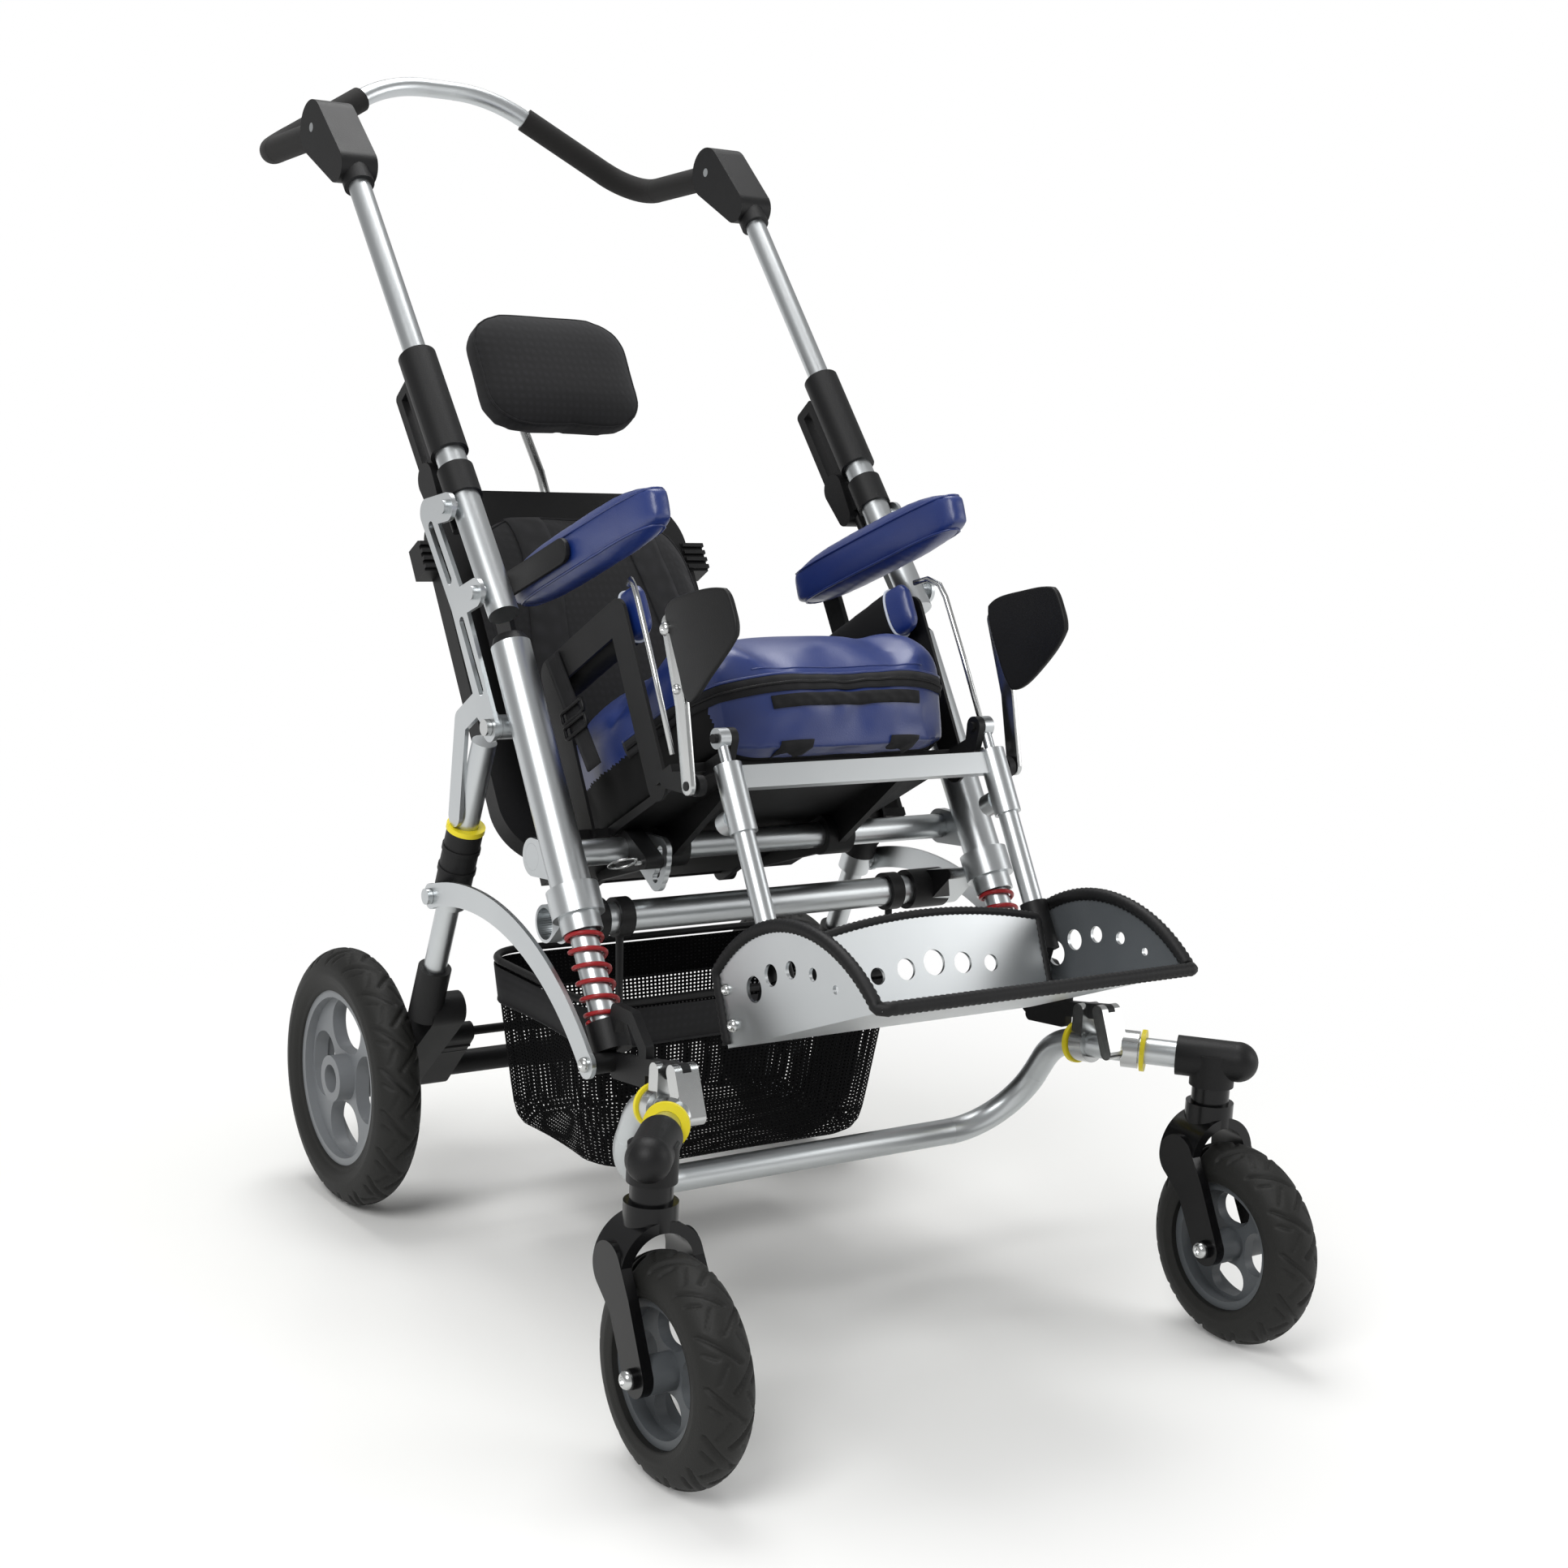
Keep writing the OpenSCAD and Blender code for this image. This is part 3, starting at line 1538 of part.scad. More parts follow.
module seat_frame() {
  pan_mid = pan_low + pan_t / 2;
  panel = [for (sy = [-1, 1]) side_pad_y + sy * (side_pad_len / 2 - rail_w)];
  color(black)
    in_seat()
      difference() {
        union() {
          translate([-pan_w / 2, pan_front, pan_low])
            cube([pan_w, pan_back - pan_front, pan_t]);
          translate([-knee_lug_x - lug_t / 2, pan_front, pan_low])
            cube([2 * knee_lug_x + lug_t, rail_w, pan_t]);
          translate([-post_x - post_t / 2, post_y - rail_w / 2, pan_low])
            cube([2 * post_x + post_t, rail_w, pan_t]);
          both_sides() {
            cross_pin(collar_x, collar_len, [0, 0], seat_tube_d + 2 * collar_wall);
            side_plate(collar_x, gusset_t) {
              link_2d([0, 0], seat_tube_d / 2 + collar_wall / 2, [-gusset_fore, pan_low], gusset_r - weld);
              link_2d([0, 0], seat_tube_d / 2 + collar_wall / 2, [gusset_aft, pan_low], gusset_r - weld);
            }
            side_plate(leg_lug_x, lug_t) {
              link_2d([pan_front + rail_w, pan_mid], pan_t / 2 - weld, [leg_lug_y, pan_low], pan_t - weld);
              link_2d([leg_lug_y, pan_low], pan_t - weld, leg_hinge, lug_r);
            }
            cross_pin(leg_tube_x - lug_t / 2, eye_t + 2 * lug_t, leg_hinge, hinge_d);
            side_plate(knee_lug_x, lug_t)
              link_2d([pan_front + rail_w / 2, pan_low], pan_t - weld, knee_hinge, lug_r);
            cross_pin(knee_x - lug_t / 2, knee_bar_t + 2 * lug_t, knee_hinge, hinge_d);
            side_plate(post_x, post_t)
              link_2d([post_y, pan_mid], post_r, arm_hinge, post_r);
            cross_pin(post_x - arm_plate_t, post_t + arm_plate_t, arm_hinge, hinge_d);
            side_plate(side_panel_x, side_panel_t) {
              chain_2d([[panel[0], pan_mid], [panel[0], side_pad_z]], rail_w / 2);
              chain_2d([[panel[0], side_pad_z], [panel[1], side_pad_z]], rail_w / 2);
              chain_2d([[panel[1], pan_mid], [panel[1], side_pad_z]], rail_w / 2);
            }
            side_plate(back_lug_x, lug_t)
              link_2d([pan_back - rail_w, pan_mid], pan_t / 2 - weld, back_hinge, back_eye_r);
          }
          cross_pin(0, 2 * (back_lug_x + 2 * lug_t), back_hinge, back_hinge_d);
          side_plate(-plunger_x, plunger_body_len)
            link_2d([0, 0], seat_tube_d / 2 + collar_wall, plunger_at, plunger_body_d / 2);
        }
        cross_pin(0, 2 * main_x, [0, 0], seat_tube_d + 2 * run);
        cross_pin(-plunger_x, 2 * plunger_body_len, plunger_at, plunger_d + 2 * run);
      }
}

// Spring pin with a pull ring that locks the tilt
plunger_at = plunger_r * [cos(plunger_angle), sin(plunger_angle)];
plunger_x = sector_x + sector_t / 2 + clear + plunger_body_len / 2;
module tilt_lock_pin() {
  tip = -sector_x + sector_t / 2;
  back = -plunger_x - plunger_body_len / 2 - pull_ring_r / 2;
  color(steel)
    in_seat() {
      cross_pin((tip + back) / 2, tip - back, plunger_at, plunger_d);
      translate([back - pull_ring_r, plunger_at.x, plunger_at.y])
        rotate_extrude()
          translate([pull_ring_r, 0])
            circle(d = pull_wire);
    }
}

// Seat cushion: crowned middle, raised side bolsters, rounded nose and a panel hanging before the pan
cushion_nu = 17;
cushion_nv = 15;
bolster_power = 0.7;
bolster_edge_power = 12;
nose_power = 6;
flap_power = 32;
function lift(u) =
  bolster_h * pow(max(0, (abs(u) - bolster_share) / (1 - bolster_share)), bolster_power)
  * (1 - pow(abs(u), bolster_edge_power));
module seat_cushion() {
  grid = [
    for (j = [0 : cushion_nv - 1], i = [0 : cushion_nu - 1])
      [sin(-90 + 180 * i / (cushion_nu - 1)), sin(-90 + 180 * j / (cushion_nv - 1))]
  ];
  mid_y = cushion_front + seat_depth / 2;
  plan = [
    for (g = grid)
      [0, mid_y] + pad_plan(g.x, g.y, seat_w, seat_depth, cushion_corner, cushion_pull)
  ];
  top = [
    for (k = [0 : len(grid) - 1])
      let (u = grid[k].x, v = grid[k].y)
      at_z(
        plan[k],
        cushion_low + seat_thick * cushion_edge_share
          + lift(u) - cushion_nose * pow(max(0, -v), nose_power)
          + (seat_thick * (1 - cushion_edge_share) + cushion_crown) * pad_fall(u, v)
      )
  ];
  low = [
    for (k = [0 : len(grid) - 1])
      let (u = grid[k].x, v = grid[k].y)
      at_z(
        plan[k] + [0, cushion_tuck * (1 - v) / 2],
        cushion_low - cushion_flap * (1 - pow(abs(u), pad_power)) * pow(max(0, -v), flap_power)
      )
  ];
  color(blue)
    in_seat()
      two_grids(top, low, cushion_nu, cushion_nv);
}
function at_z(p, z) = [p.x, p.y, z];

module side_pads() {
  color(blue)
    in_seat()
      both_sides()
        translate([side_pad_x, side_pad_y, side_pad_z])
          rotate([90, 0, -90])
            pad(side_pad_len, side_pad_h, side_pad_t, side_crown, side_pad_t, side_crown, 0);
}

// Backrest in a frame that stands on its hinge
module on_back() {
  in_seat()
    translate(at_x(0, back_hinge))
      rotate([-back_lean, 0, 0])
        children();
}
shell_mid = shell_t / 2 + shell_off;
shell_top = back_h + back_eye_r;
module backrest_shell() {
  mid_z = (shell_top + back_eye_r) / 2 + shell_off;
  color(black)
    on_back()
      difference() {
        union() {
          translate([0, shell_mid, mid_z])
            rotate([90, 0, 0])
              linear_extrude(shell_t, center = true)
                soft_rect_2d(back_w, back_h - 2 * shell_off, shell_corner);
          both_sides() {
            side_plate(back_lug_x + lug_t + clear, lug_t)
              link_2d([0, 0], back_eye_r, [shell_mid, 2 * shell_t], back_eye_r / 2);
            translate([back_w / 2 + buckle_t / 2 - shell_off, shell_mid, buckle_z])
              buckle();
          }
        }
        cross_pin(0, back_w, [0, 0], back_hinge_d + 2 * run);
        translate([0, shell_mid, mid_z])
          cylinder(h = back_h, d = head_rod_d + 2 * run);
      }
}
// Ladder buckle on the edge of the shell
module buckle() {
  tooth = buckle_h / (2 * buckle_teeth);
  cube([buckle_t, buckle_w, buckle_h], center = true);
  for (k = [0 : buckle_teeth - 1])
    translate([0, -buckle_w / 2, -buckle_h / 2 + (2 * k + 1) * tooth])
      cube([buckle_t, 2 * tooth, tooth], center = true);
}
module backrest_pad() {
  color(black)
    on_back()
      translate([0, shell_off - back_pad_t / 2 - clear, back_pad_z + back_pad_h / 2])
        rotate([90, 0, 0])
          pad(back_w - 2 * shell_off, back_pad_h, back_pad_t, back_pad_crown, shell_corner, shell_off, 0);
}

// Headrest on its bent rod
module headrest_rod() {
  high = shell_top + head_up;
  color(steel)
    on_back()
      bent_tube(
        [
          [0, shell_mid, shell_top - head_rod_deep],
          [0, shell_mid, shell_top + head_rise],
          [0, shell_mid + head_set, high],
          [0, head_y + head_t / 2 + clear, high]
        ],
        [head_bend_r, head_bend_r],
        head_rod_d
      );
}
module headrest_pad() {
  color(black)
    on_back()
      translate([0, head_y, shell_top + head_up])
        rotate([90, 0, 0])
          pad(head_w, head_h, head_t, head_crown, head_corner, shell_off, 0);
}

// Armrests: padded beams on a plate, flipping up about their rear end
module on_arm() {
  in_seat()
    translate(at_x(0, arm_hinge))
      rotate([arm_angle, 0, 0])
        children();
}
module armrest() {
  color(blue)
    on_arm() {
      translate([arm_pad_x, arm_plate_r - arm_len / 2, 0])
        rotate([0, 0, 90])
          pad(arm_len, arm_w, arm_t, arm_crown, arm_w, 0, 0);
      difference() {
        side_plate(arm_plate_x, arm_plate_t)
          link_2d([0, 0], arm_plate_r, [-arm_plate_len, 0], arm_plate_r / 2);
        cross_pin(post_x, 2 * arm_plate_t + post_t + overrun, [0, 0], hinge_d + 2 * run);
      }
    }
}
module left_armrest() armrest();
module right_armrest() right_side() armrest();

// Legrest, footrest and knee guides

module legrest_frame() {
  bar_w = 2 * leg_tube_x - leg_socket_d + socket_wall;
  color(alu)
    in_seat() {
      both_sides()
        difference() {
          translate([leg_tube_x, socket_y, 0]) {
            translate([0, 0, socket_top - socket_len])
              cylinder(h = socket_len, d = leg_socket_d);
            cylinder(h = leg_hinge.y, d = hanger_d);
            cross_pin(0, eye_t, leg_hinge - [socket_y, 0], 2 * lug_r);
            translate([0, leg_socket_d / 2 - overrun, leg_knob_z])
              rotate([-90, 0, 0])
                cylinder(h = leg_knob_t, d = leg_knob_d);
          }
          translate([leg_tube_x, socket_y, socket_top - socket_len - overrun])
            cylinder(h = socket_len - socket_wall + overrun, d = leg_tube_d + 2 * run);
          cross_pin(leg_tube_x, 2 * eye_t, leg_hinge, hinge_d + 2 * run);
        }
      translate([-bar_w / 2, socket_y - cross_t / 2, cross_z - cross_h / 2])
        cube([bar_w, cross_t, cross_h]);
    }
}

// Telescoping footrest tubes with the hinge eyes of the footplate
module footrest_tubes() {
  color(alu)
    in_seat()
      both_sides()
        difference() {
          union() {
            translate([leg_tube_x, socket_y, foot_tube_foot])
              cylinder(h = foot_tube_top - foot_tube_foot, d = leg_tube_d);
            translate([leg_tube_x, socket_y, foot_tube_foot])
              cylinder(h = foot_sleeve_len, d = foot_sleeve_d);
            side_plate(leg_tube_x, foot_sleeve_d / 2)
              link_2d([socket_y, foot_tube_foot + foot_eye_r], foot_eye_r, foot_hinge, foot_eye_r);
          }
          cross_pin(leg_tube_x, foot_sleeve_d, foot_hinge, hinge_d + 2 * run);
        }
}

// Footplate tray: floor, arched side plates with shrinking holes and a low back plate
module in_foot() {
  in_seat()
    translate(at_x(0, foot_hinge))
      rotate([foot_angle, 0, 0])
        children();
}
foot_floor_z = -foot_floor_drop;
function foot_hole(k) = foot_hole_d * (1 - k * foot_hole_shrink_share);
module foot_side_2d() {
  arc_at = [foot_top_y, foot_floor_z + foot_rise_h - foot_arc_r];
  difference() {
    intersection() {
      translate(arc_at)
        circle(r = foot_arc_r, $fn = fine_fn);
      translate([foot_behind_len - foot_len, foot_floor_z])
        square([foot_len, foot_arc_r]);
    }
    translate(arc_at)
      for (k = [0 : foot_holes - 1])
        rotate(foot_hole_angle * (k - 1))
          translate([0, foot_arc_r - foot_rise_h / 2 + k * foot_hole_shrink_share * foot_hole_d])
            circle(d = foot_hole(k));
  }
}
module foot_back_2d() {
  middle = (foot_holes + 1) / 2;
  difference() {
    intersection() {
      translate([-foot_back_w / 2, 0])
        square([foot_back_w, foot_back_h]);
      translate([0, foot_back_h - foot_back_arc_r])
        circle(r = foot_back_arc_r, $fn = fine_fn);
    }
    for (k = [1 : foot_holes])
      translate([(k - middle) * foot_back_pitch, foot_back_h / 2 - abs(k - middle) * foot_sheet])
        circle(d = foot_hole(abs(k - middle)));
  }
}
module footplate() {
  side_x = foot_w / 2 - foot_sheet / 2;
  color(alu)
    in_foot() {
      translate([-foot_w / 2, foot_behind_len - foot_len, foot_floor_z - foot_sheet])
        cube([foot_w, foot_len, foot_sheet]);
      translate([
        foot_sheet + foot_field_inset - foot_w / 2,
        foot_behind_len - foot_len + foot_field_inset,
        foot_floor_z - foot_sheet / 2
      ])
        cube([
          foot_w - 2 * (foot_sheet + foot_field_inset),
          foot_len - foot_behind_len + foot_back_y - foot_sheet - 2 * foot_field_inset,
          foot_sheet / 2 + foot_field_h
        ]);
      both_sides() {
        side_plate(side_x, foot_sheet)
          foot_side_2d();
        cross_pin((side_x + leg_tube_x - eye_t) / 2, side_x - leg_tube_x + eye_t, [0, 0], hinge_d);
      }
      translate([0, foot_back_y, foot_floor_z - foot_sheet / 2])
        rotate([90, 0, 0])
          linear_extrude(foot_sheet)
            foot_back_2d();
    }
}

// Curved knee guide shell on a bent flat bar
module knee_guide() {
  color(black)
    in_seat() {
      difference() {
        side_plate(knee_x, knee_bar_t) {
          link_2d(knee_hinge, knee_bar_r, knee_elbow, knee_bar_r);
          link_2d(knee_elbow, knee_bar_r, knee_top, knee_bar_r);
        }
        cross_pin(knee_x, 2 * knee_bar_t, knee_hinge, hinge_d + 2 * run);
      }
      intersection() {
        translate([
          knee_x - knee_shell_r * cos(knee_shell_angle),
          knee_top.x - knee_shell_r * sin(knee_shell_angle),
          0
        ])
          rotate([0, 0, knee_shell_angle + knee_shell_back_angle - knee_shell_sweep_angle])
            rotate_extrude(angle = knee_shell_sweep_angle, $fn = fine_fn)
              translate([knee_shell_r - knee_shell_t, 0])
                square([knee_shell_t, 2 * knee_top.y]);
        side_plate(knee_x - knee_shell_r / 2, 2 * knee_shell_r)
          soft_polygon_2d(knee_shell_side, knee_shell_soft);
      }
    }
}
module left_knee_guide() knee_guide();
module right_knee_guide() right_side() knee_guide();

left_main_tube();
right_main_tube();
main_tube_plugs();
seat_pivot_tube();
lower_cross_tube();
cross_tube_clamps();
fold_pivot_bolts();
strut_bushes();
left_coil_spring();
right_coil_spring();
storage_basket();
basket_rim();
front_bow_tube();
strut_tubes();
tie_down_brackets();
bow_clamps();
clamp_bands();
caster_arm_covers();
left_caster_fork();
right_caster_fork();
left_caster_rim();
right_caster_rim();
left_caster_tyre();
right_caster_tyre();
rear_leg_hooks();
rear_elastomers();
elastomer_rings();
rear_lower_legs();
axle_housings();
rear_axle();
brake_pedals();
side_links();
left_rear_rim();
right_rear_rim();
left_rear_tyre();
right_rear_tyre();
fold_plates();
lower_push_tubes();
clamp_sleeves();
left_release_lever();
right_release_lever();
upper_push_tubes();
angle_housings();
push_bar();
push_bar_grips();
seat_frame();
seat_cushion();
side_pads();
tilt_lock_pin();
backrest_shell();
backrest_pad();
headrest_rod();
headrest_pad();
left_armrest();
right_armrest();
legrest_frame();
footrest_tubes();
footplate();
left_knee_guide();
right_knee_guide();
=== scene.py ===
# %% [markdown]
# # Dressing a special needs buggy
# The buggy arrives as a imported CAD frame: tubes, hinges, wheels and plain solids for everything soft.
# In these cells it gets its finishes, its treaded tyres, its sprung wire and its sewn covers.
# Lengths in this file are in metres unless a name ends in `_mm`.

# %% Load the frame
import json
import math
import bpy
import bmesh
import numpy as np
from mathutils import Matrix, Vector
from mathutils.bvhtree import BVHTree

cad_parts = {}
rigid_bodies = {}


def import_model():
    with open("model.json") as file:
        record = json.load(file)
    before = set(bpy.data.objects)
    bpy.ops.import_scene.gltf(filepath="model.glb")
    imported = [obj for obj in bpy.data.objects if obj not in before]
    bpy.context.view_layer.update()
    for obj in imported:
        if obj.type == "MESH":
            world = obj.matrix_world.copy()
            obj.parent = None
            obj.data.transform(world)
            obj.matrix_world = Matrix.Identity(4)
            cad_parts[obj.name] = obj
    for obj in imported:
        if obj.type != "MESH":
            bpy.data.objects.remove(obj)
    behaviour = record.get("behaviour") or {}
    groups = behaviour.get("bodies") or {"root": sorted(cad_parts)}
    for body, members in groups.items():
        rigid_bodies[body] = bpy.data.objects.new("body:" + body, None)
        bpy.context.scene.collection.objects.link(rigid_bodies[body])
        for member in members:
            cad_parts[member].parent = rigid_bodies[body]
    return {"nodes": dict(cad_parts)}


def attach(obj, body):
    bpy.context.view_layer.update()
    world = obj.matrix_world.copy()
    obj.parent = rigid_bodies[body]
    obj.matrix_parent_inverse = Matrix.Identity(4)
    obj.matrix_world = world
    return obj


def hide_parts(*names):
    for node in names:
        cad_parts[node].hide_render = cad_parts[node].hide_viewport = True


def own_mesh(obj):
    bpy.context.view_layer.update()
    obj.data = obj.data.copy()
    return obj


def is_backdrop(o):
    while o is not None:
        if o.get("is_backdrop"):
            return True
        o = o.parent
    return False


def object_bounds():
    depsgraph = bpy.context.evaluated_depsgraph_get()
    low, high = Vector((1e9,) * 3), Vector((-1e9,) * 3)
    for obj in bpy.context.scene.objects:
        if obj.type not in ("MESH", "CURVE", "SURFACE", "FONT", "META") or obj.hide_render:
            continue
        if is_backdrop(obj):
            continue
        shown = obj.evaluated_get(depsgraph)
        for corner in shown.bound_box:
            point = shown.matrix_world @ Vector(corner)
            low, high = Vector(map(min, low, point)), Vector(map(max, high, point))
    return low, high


for stray in list(bpy.data.objects):
    bpy.data.objects.remove(stray)
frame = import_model()
nodes = frame["nodes"]
cad_low, cad_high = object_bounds()
scene = bpy.context.scene
scene.view_settings.view_transform = "Standard"

# %% [markdown]
# ## Camera
# The camera was solved from the wheels and the paired tubes, so it stands where the photographer stood:
# about hip height, in front and to the sitter's right, tipped a little down and rolled by 3 degrees.
# The focal length is 2851 pixels on a picture 1932 pixels wide.

# %% Place the camera
photo_pixels, focal_pixels, sensor_mm = 1932, 2851, 36
stand = (-1.1826, -1.8835, 0.8172)
yaw, pitch, roll = (math.radians(a) for a in (34.70, -9.53, 3.01))
forward = Vector((math.sin(yaw) * math.cos(pitch), math.cos(yaw) * math.cos(pitch), math.sin(pitch)))
level = forward.cross(Vector((0, 0, 1))).normalized()
upward = level.cross(forward)
right = level * math.cos(roll) + upward * math.sin(roll)
up = upward * math.cos(roll) - level * math.sin(roll)
camera = bpy.data.objects.new("camera", bpy.data.cameras.new("camera"))
scene.collection.objects.link(camera)
camera.data.sensor_width = sensor_mm
camera.data.lens = sensor_mm * focal_pixels / photo_pixels
camera.matrix_world = Matrix((
    (right.x, up.x, -forward.x, stand[0]),
    (right.y, up.y, -forward.y, stand[1]),
    (right.z, up.z, -forward.z, stand[2]),
    (0, 0, 0, 1),
))
scene.camera = camera
print("lens in mm:", round(camera.data.lens, 1))

# %% [markdown]
# ## Colours and shader nodes
# Colours are picked as sRGB hex values, as in a paint program, and Blender calculates in linear light.
# One function does that change. A second one adds a shader node with its settings and links,
# and a few short ones name the nodes that most finishes share: noise, two tones and fine dents.
# That keeps each finish below to a few readable lines.

# %% Helpers for all finishes
def linear(hex_code):
    channels = [int(hex_code[i:i + 2], 16) / 255 for i in (1, 3, 5)]
    return [c / 12.92 if c <= 0.04045 else ((c + 0.055) / 1.055) ** 2.4 for c in channels] + [1.0]


def feed(tree, node, inputs):
    """Sets inputs of a shader node to values, or links them to the sockets given."""
    for key, value in inputs.items():
        socket = next(s for s in node.inputs if s.enabled and key in (s.name, s.identifier))
        if isinstance(value, bpy.types.NodeSocket):
            tree.links.new(value, socket)
        else:
            socket.default_value = value


def add(tree, kind, inputs=None, output=None, **settings):
    """Adds a shader node with its settings and inputs, and returns one of its outputs."""
    made = tree.nodes.new("ShaderNode" + kind)
    for key, value in settings.items():
        setattr(made, key, value)
    feed(tree, made, inputs or {})
    return next(s for s in made.outputs if s.enabled and output in (None, s.name))


def calculate(tree, operation, *values):
    return add(tree, "Math", dict(zip(("Value", "Value_001"), values)), operation=operation)


def between(tree, share, low, high):
    return add(tree, "MapRange", {"Value": share, "To Min": low, "To Max": high})


def noise(tree, place, size_mm, detail):
    return add(tree, "TexNoise", {"Vector": place, "Scale": 1000 / size_mm, "Detail": detail})


def two_tones(tree, share, one, two):
    return add(tree, "Mix", {"Factor": share, "A": linear(one), "B": linear(two)}, data_type="RGBA")


def dents(tree, height, strength, depth):
    return add(tree, "Bump", {"Height": height, "Strength": strength, "Distance": depth})


def finish_named(name):
    """An empty finish: its tree, its shader and the place of each surface point in metres."""
    made = bpy.data.materials.new(name)
    made.use_nodes = True
    tree = made.node_tree
    shader = tree.nodes["Principled BSDF"]
    return made, tree, shader, add(tree, "TexCoord", output="Object")


print("white in linear light:", linear("#ffffff")[0])

# %% [markdown]
# ## Studio
# A plain pale floor and a white surround, lit by one wide soft box from the upper left,
# a fill and a top light. The surround is plain white to the camera, and dimmer as a light and in reflections,
# so that the lamps shape the tubes and black stays black. The floor keeps the shadow near the wheels
# and goes over to the same white further out, so that no horizon shows.

# %% Floor, surround and lamps
floor_half = 30
corners = [(x * floor_half, y * floor_half, 0) for x, y in ((-1, -1), (1, -1), (1, 1), (-1, 1))]
floor_mesh = bpy.data.meshes.new("floor")
floor_mesh.from_pydata(corners, [], [(0, 1, 2, 3)])
floor = bpy.data.objects.new("floor", floor_mesh)
scene.collection.objects.link(floor)
floor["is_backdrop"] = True
paper, tree, shader, place = finish_named("matt_paper")
feed(tree, shader, {"Base Color": linear("#f0f0ee"), "Roughness": 0.95, "Specular IOR Level": 0.1})
ray = add(tree, "LightPath").node.outputs
seen = calculate(tree, "MAXIMUM", ray["Is Camera Ray"], ray["Is Glossy Ray"])
far_off = add(tree, "VectorMath", {"Vector": place}, output="Value", operation="LENGTH")
shadow_keeps = {"From Min": 0.40, "From Max": 1.2}
fade = add(tree, "MapRange", {"Value": far_off, **shadow_keeps}, interpolation_type="SMOOTHSTEP")
fade = calculate(tree, "MULTIPLY", fade, seen)
white = add(tree, "Emission", {"Color": (1, 1, 1, 1), "Strength": 1.0})
mixed = add(tree, "MixShader", {"Fac": fade, "Shader": shader.outputs[0], "Shader_001": white})
feed(tree, tree.nodes["Material Output"], {"Surface": mixed})
floor_mesh.materials.append(paper)

surround = bpy.data.worlds.new("surround")
scene.world = surround
surround.use_nodes = True
tree = surround.node_tree
ray = add(tree, "LightPath").node.outputs
seen = calculate(tree, "MAXIMUM", ray["Is Camera Ray"], ray["Is Transmission Ray"])
strength = between(tree, seen, 0.40, 1.0)
feed(tree, tree.nodes["Background"], {"Color": (1, 1, 1, 1), "Strength": strength})


def soft_box(name, at, size, watts):
    lamp = bpy.data.objects.new(name, bpy.data.lights.new(name, "AREA"))
    lamp.data.size = size
    lamp.data.energy = watts
    lamp.location = at
    lamp.rotation_euler = (Vector((0, 0, 0.5)) - Vector(at)).to_track_quat("-Z", "Y").to_euler()
    scene.collection.objects.link(lamp)


soft_box("key_light", (-2.6, -1.8, 3.0), 1.8, 92)
soft_box("fill_light", (2.8, -2.2, 1.6), 1.8, 30)
soft_box("top_light", (0.3, 0.9, 3.4), 2.0, 70)

# %% [markdown]
# ## Metals
# The tubes are drawn aluminium, bead blasted and clear anodised. That gives a soft, even silver,
# faintly clouded, with no mirror image. The bolts and rods are zinc plated steel, brighter and sharper.
# Blasting pits are about 0.2 mm wide, far below a pixel here, so the grain is drawn at 1.5 to 2 mm.

# %% Anodised aluminium and zinc plated steel
def metal(name, hex_code, dark_code, roughness, spread, grain_mm):
    made, tree, shader, place = finish_named(name)
    cloud = noise(tree, place, 120, 3)
    grain = noise(tree, place, grain_mm, 2)
    feed(tree, shader, {
        "Metallic": 1,
        "Base Color": two_tones(tree, cloud, dark_code, hex_code),
        "Roughness": between(tree, grain, roughness - spread, roughness + spread),
        "Normal": dents(tree, grain, 0.03, 0.0004),
    })
    return made


aluminium = metal("anodised_aluminium", "#cdd0d1", "#bcc0c2", 0.34, 0.05, 1.5)
zinc = metal("zinc_plated_steel", "#cfd0cf", "#b6b8b8", 0.24, 0.06, 2.0)
print("metals:", aluminium.name, zinc.name)

# %% [markdown]
# ## Plastics and rubbers
# Clamps, housings and levers are glass filled nylon from spark eroded tools, so they carry a fine matt grain.
# The fork is the same polymer from a polished tool, hence its gloss. Tyres are solid polyurethane,
# grips are cellular rubber foam, and the wheel rims are grey nylon.
# A moulded grain is about 0.3 mm; it is drawn at 1.2 to 2.5 mm so that it can show.

# %% Moulded and foamed finishes
def moulded(name, hex_code, worn_code, roughness, grain_mm, relief, sheen=0.0, spread=0.06):
    made, tree, shader, place = finish_named(name)
    cloud = noise(tree, place, 50, 4)
    grain = noise(tree, place, grain_mm, 3)
    feed(tree, shader, {
        "Base Color": two_tones(tree, cloud, hex_code, worn_code),
        "Roughness": between(tree, cloud, roughness - spread, roughness + spread),
        "Normal": dents(tree, grain, relief, 0.0006),
        "Specular IOR Level": 0.3,
        "Sheen Weight": sheen,
    })
    return made


nylon = moulded("black_nylon_grained", "#0b0b0c", "#131314", 0.5, 1.2, 0.22)
gloss_nylon = moulded("black_nylon_polished", "#080809", "#0e0e0f", 0.24, 2.5, 0.05)
tyre_rubber = moulded("solid_tyre_polyurethane", "#161615", "#21211f", 0.6, 1.5, 0.3)
foam = moulded("cellular_foam_grip", "#121111", "#1b1a19", 0.85, 1.6, 0.5, 0.05)
buffer_rubber = moulded("black_buffer_rubber", "#0e0e0f", "#171718", 0.55, 1.4, 0.2)
grey_nylon = moulded("grey_nylon_rim", "#74777a", "#808386", 0.42, 1.3, 0.15)
# Dark grey nylon of the caster rims; the same finish is also painted shade on the inner faces of the
# footplate's side plates.
dark_grey_nylon_and_shade = moulded("dark_grey_nylon_rim_and_painted_shade", "#4a4d50", "#565a5d", 0.45, 1.3, 0.15)
yellow_ring = moulded("yellow_polyurethane", "#e3d018", "#ecdc3a", 0.4, 1.5, 0.1)
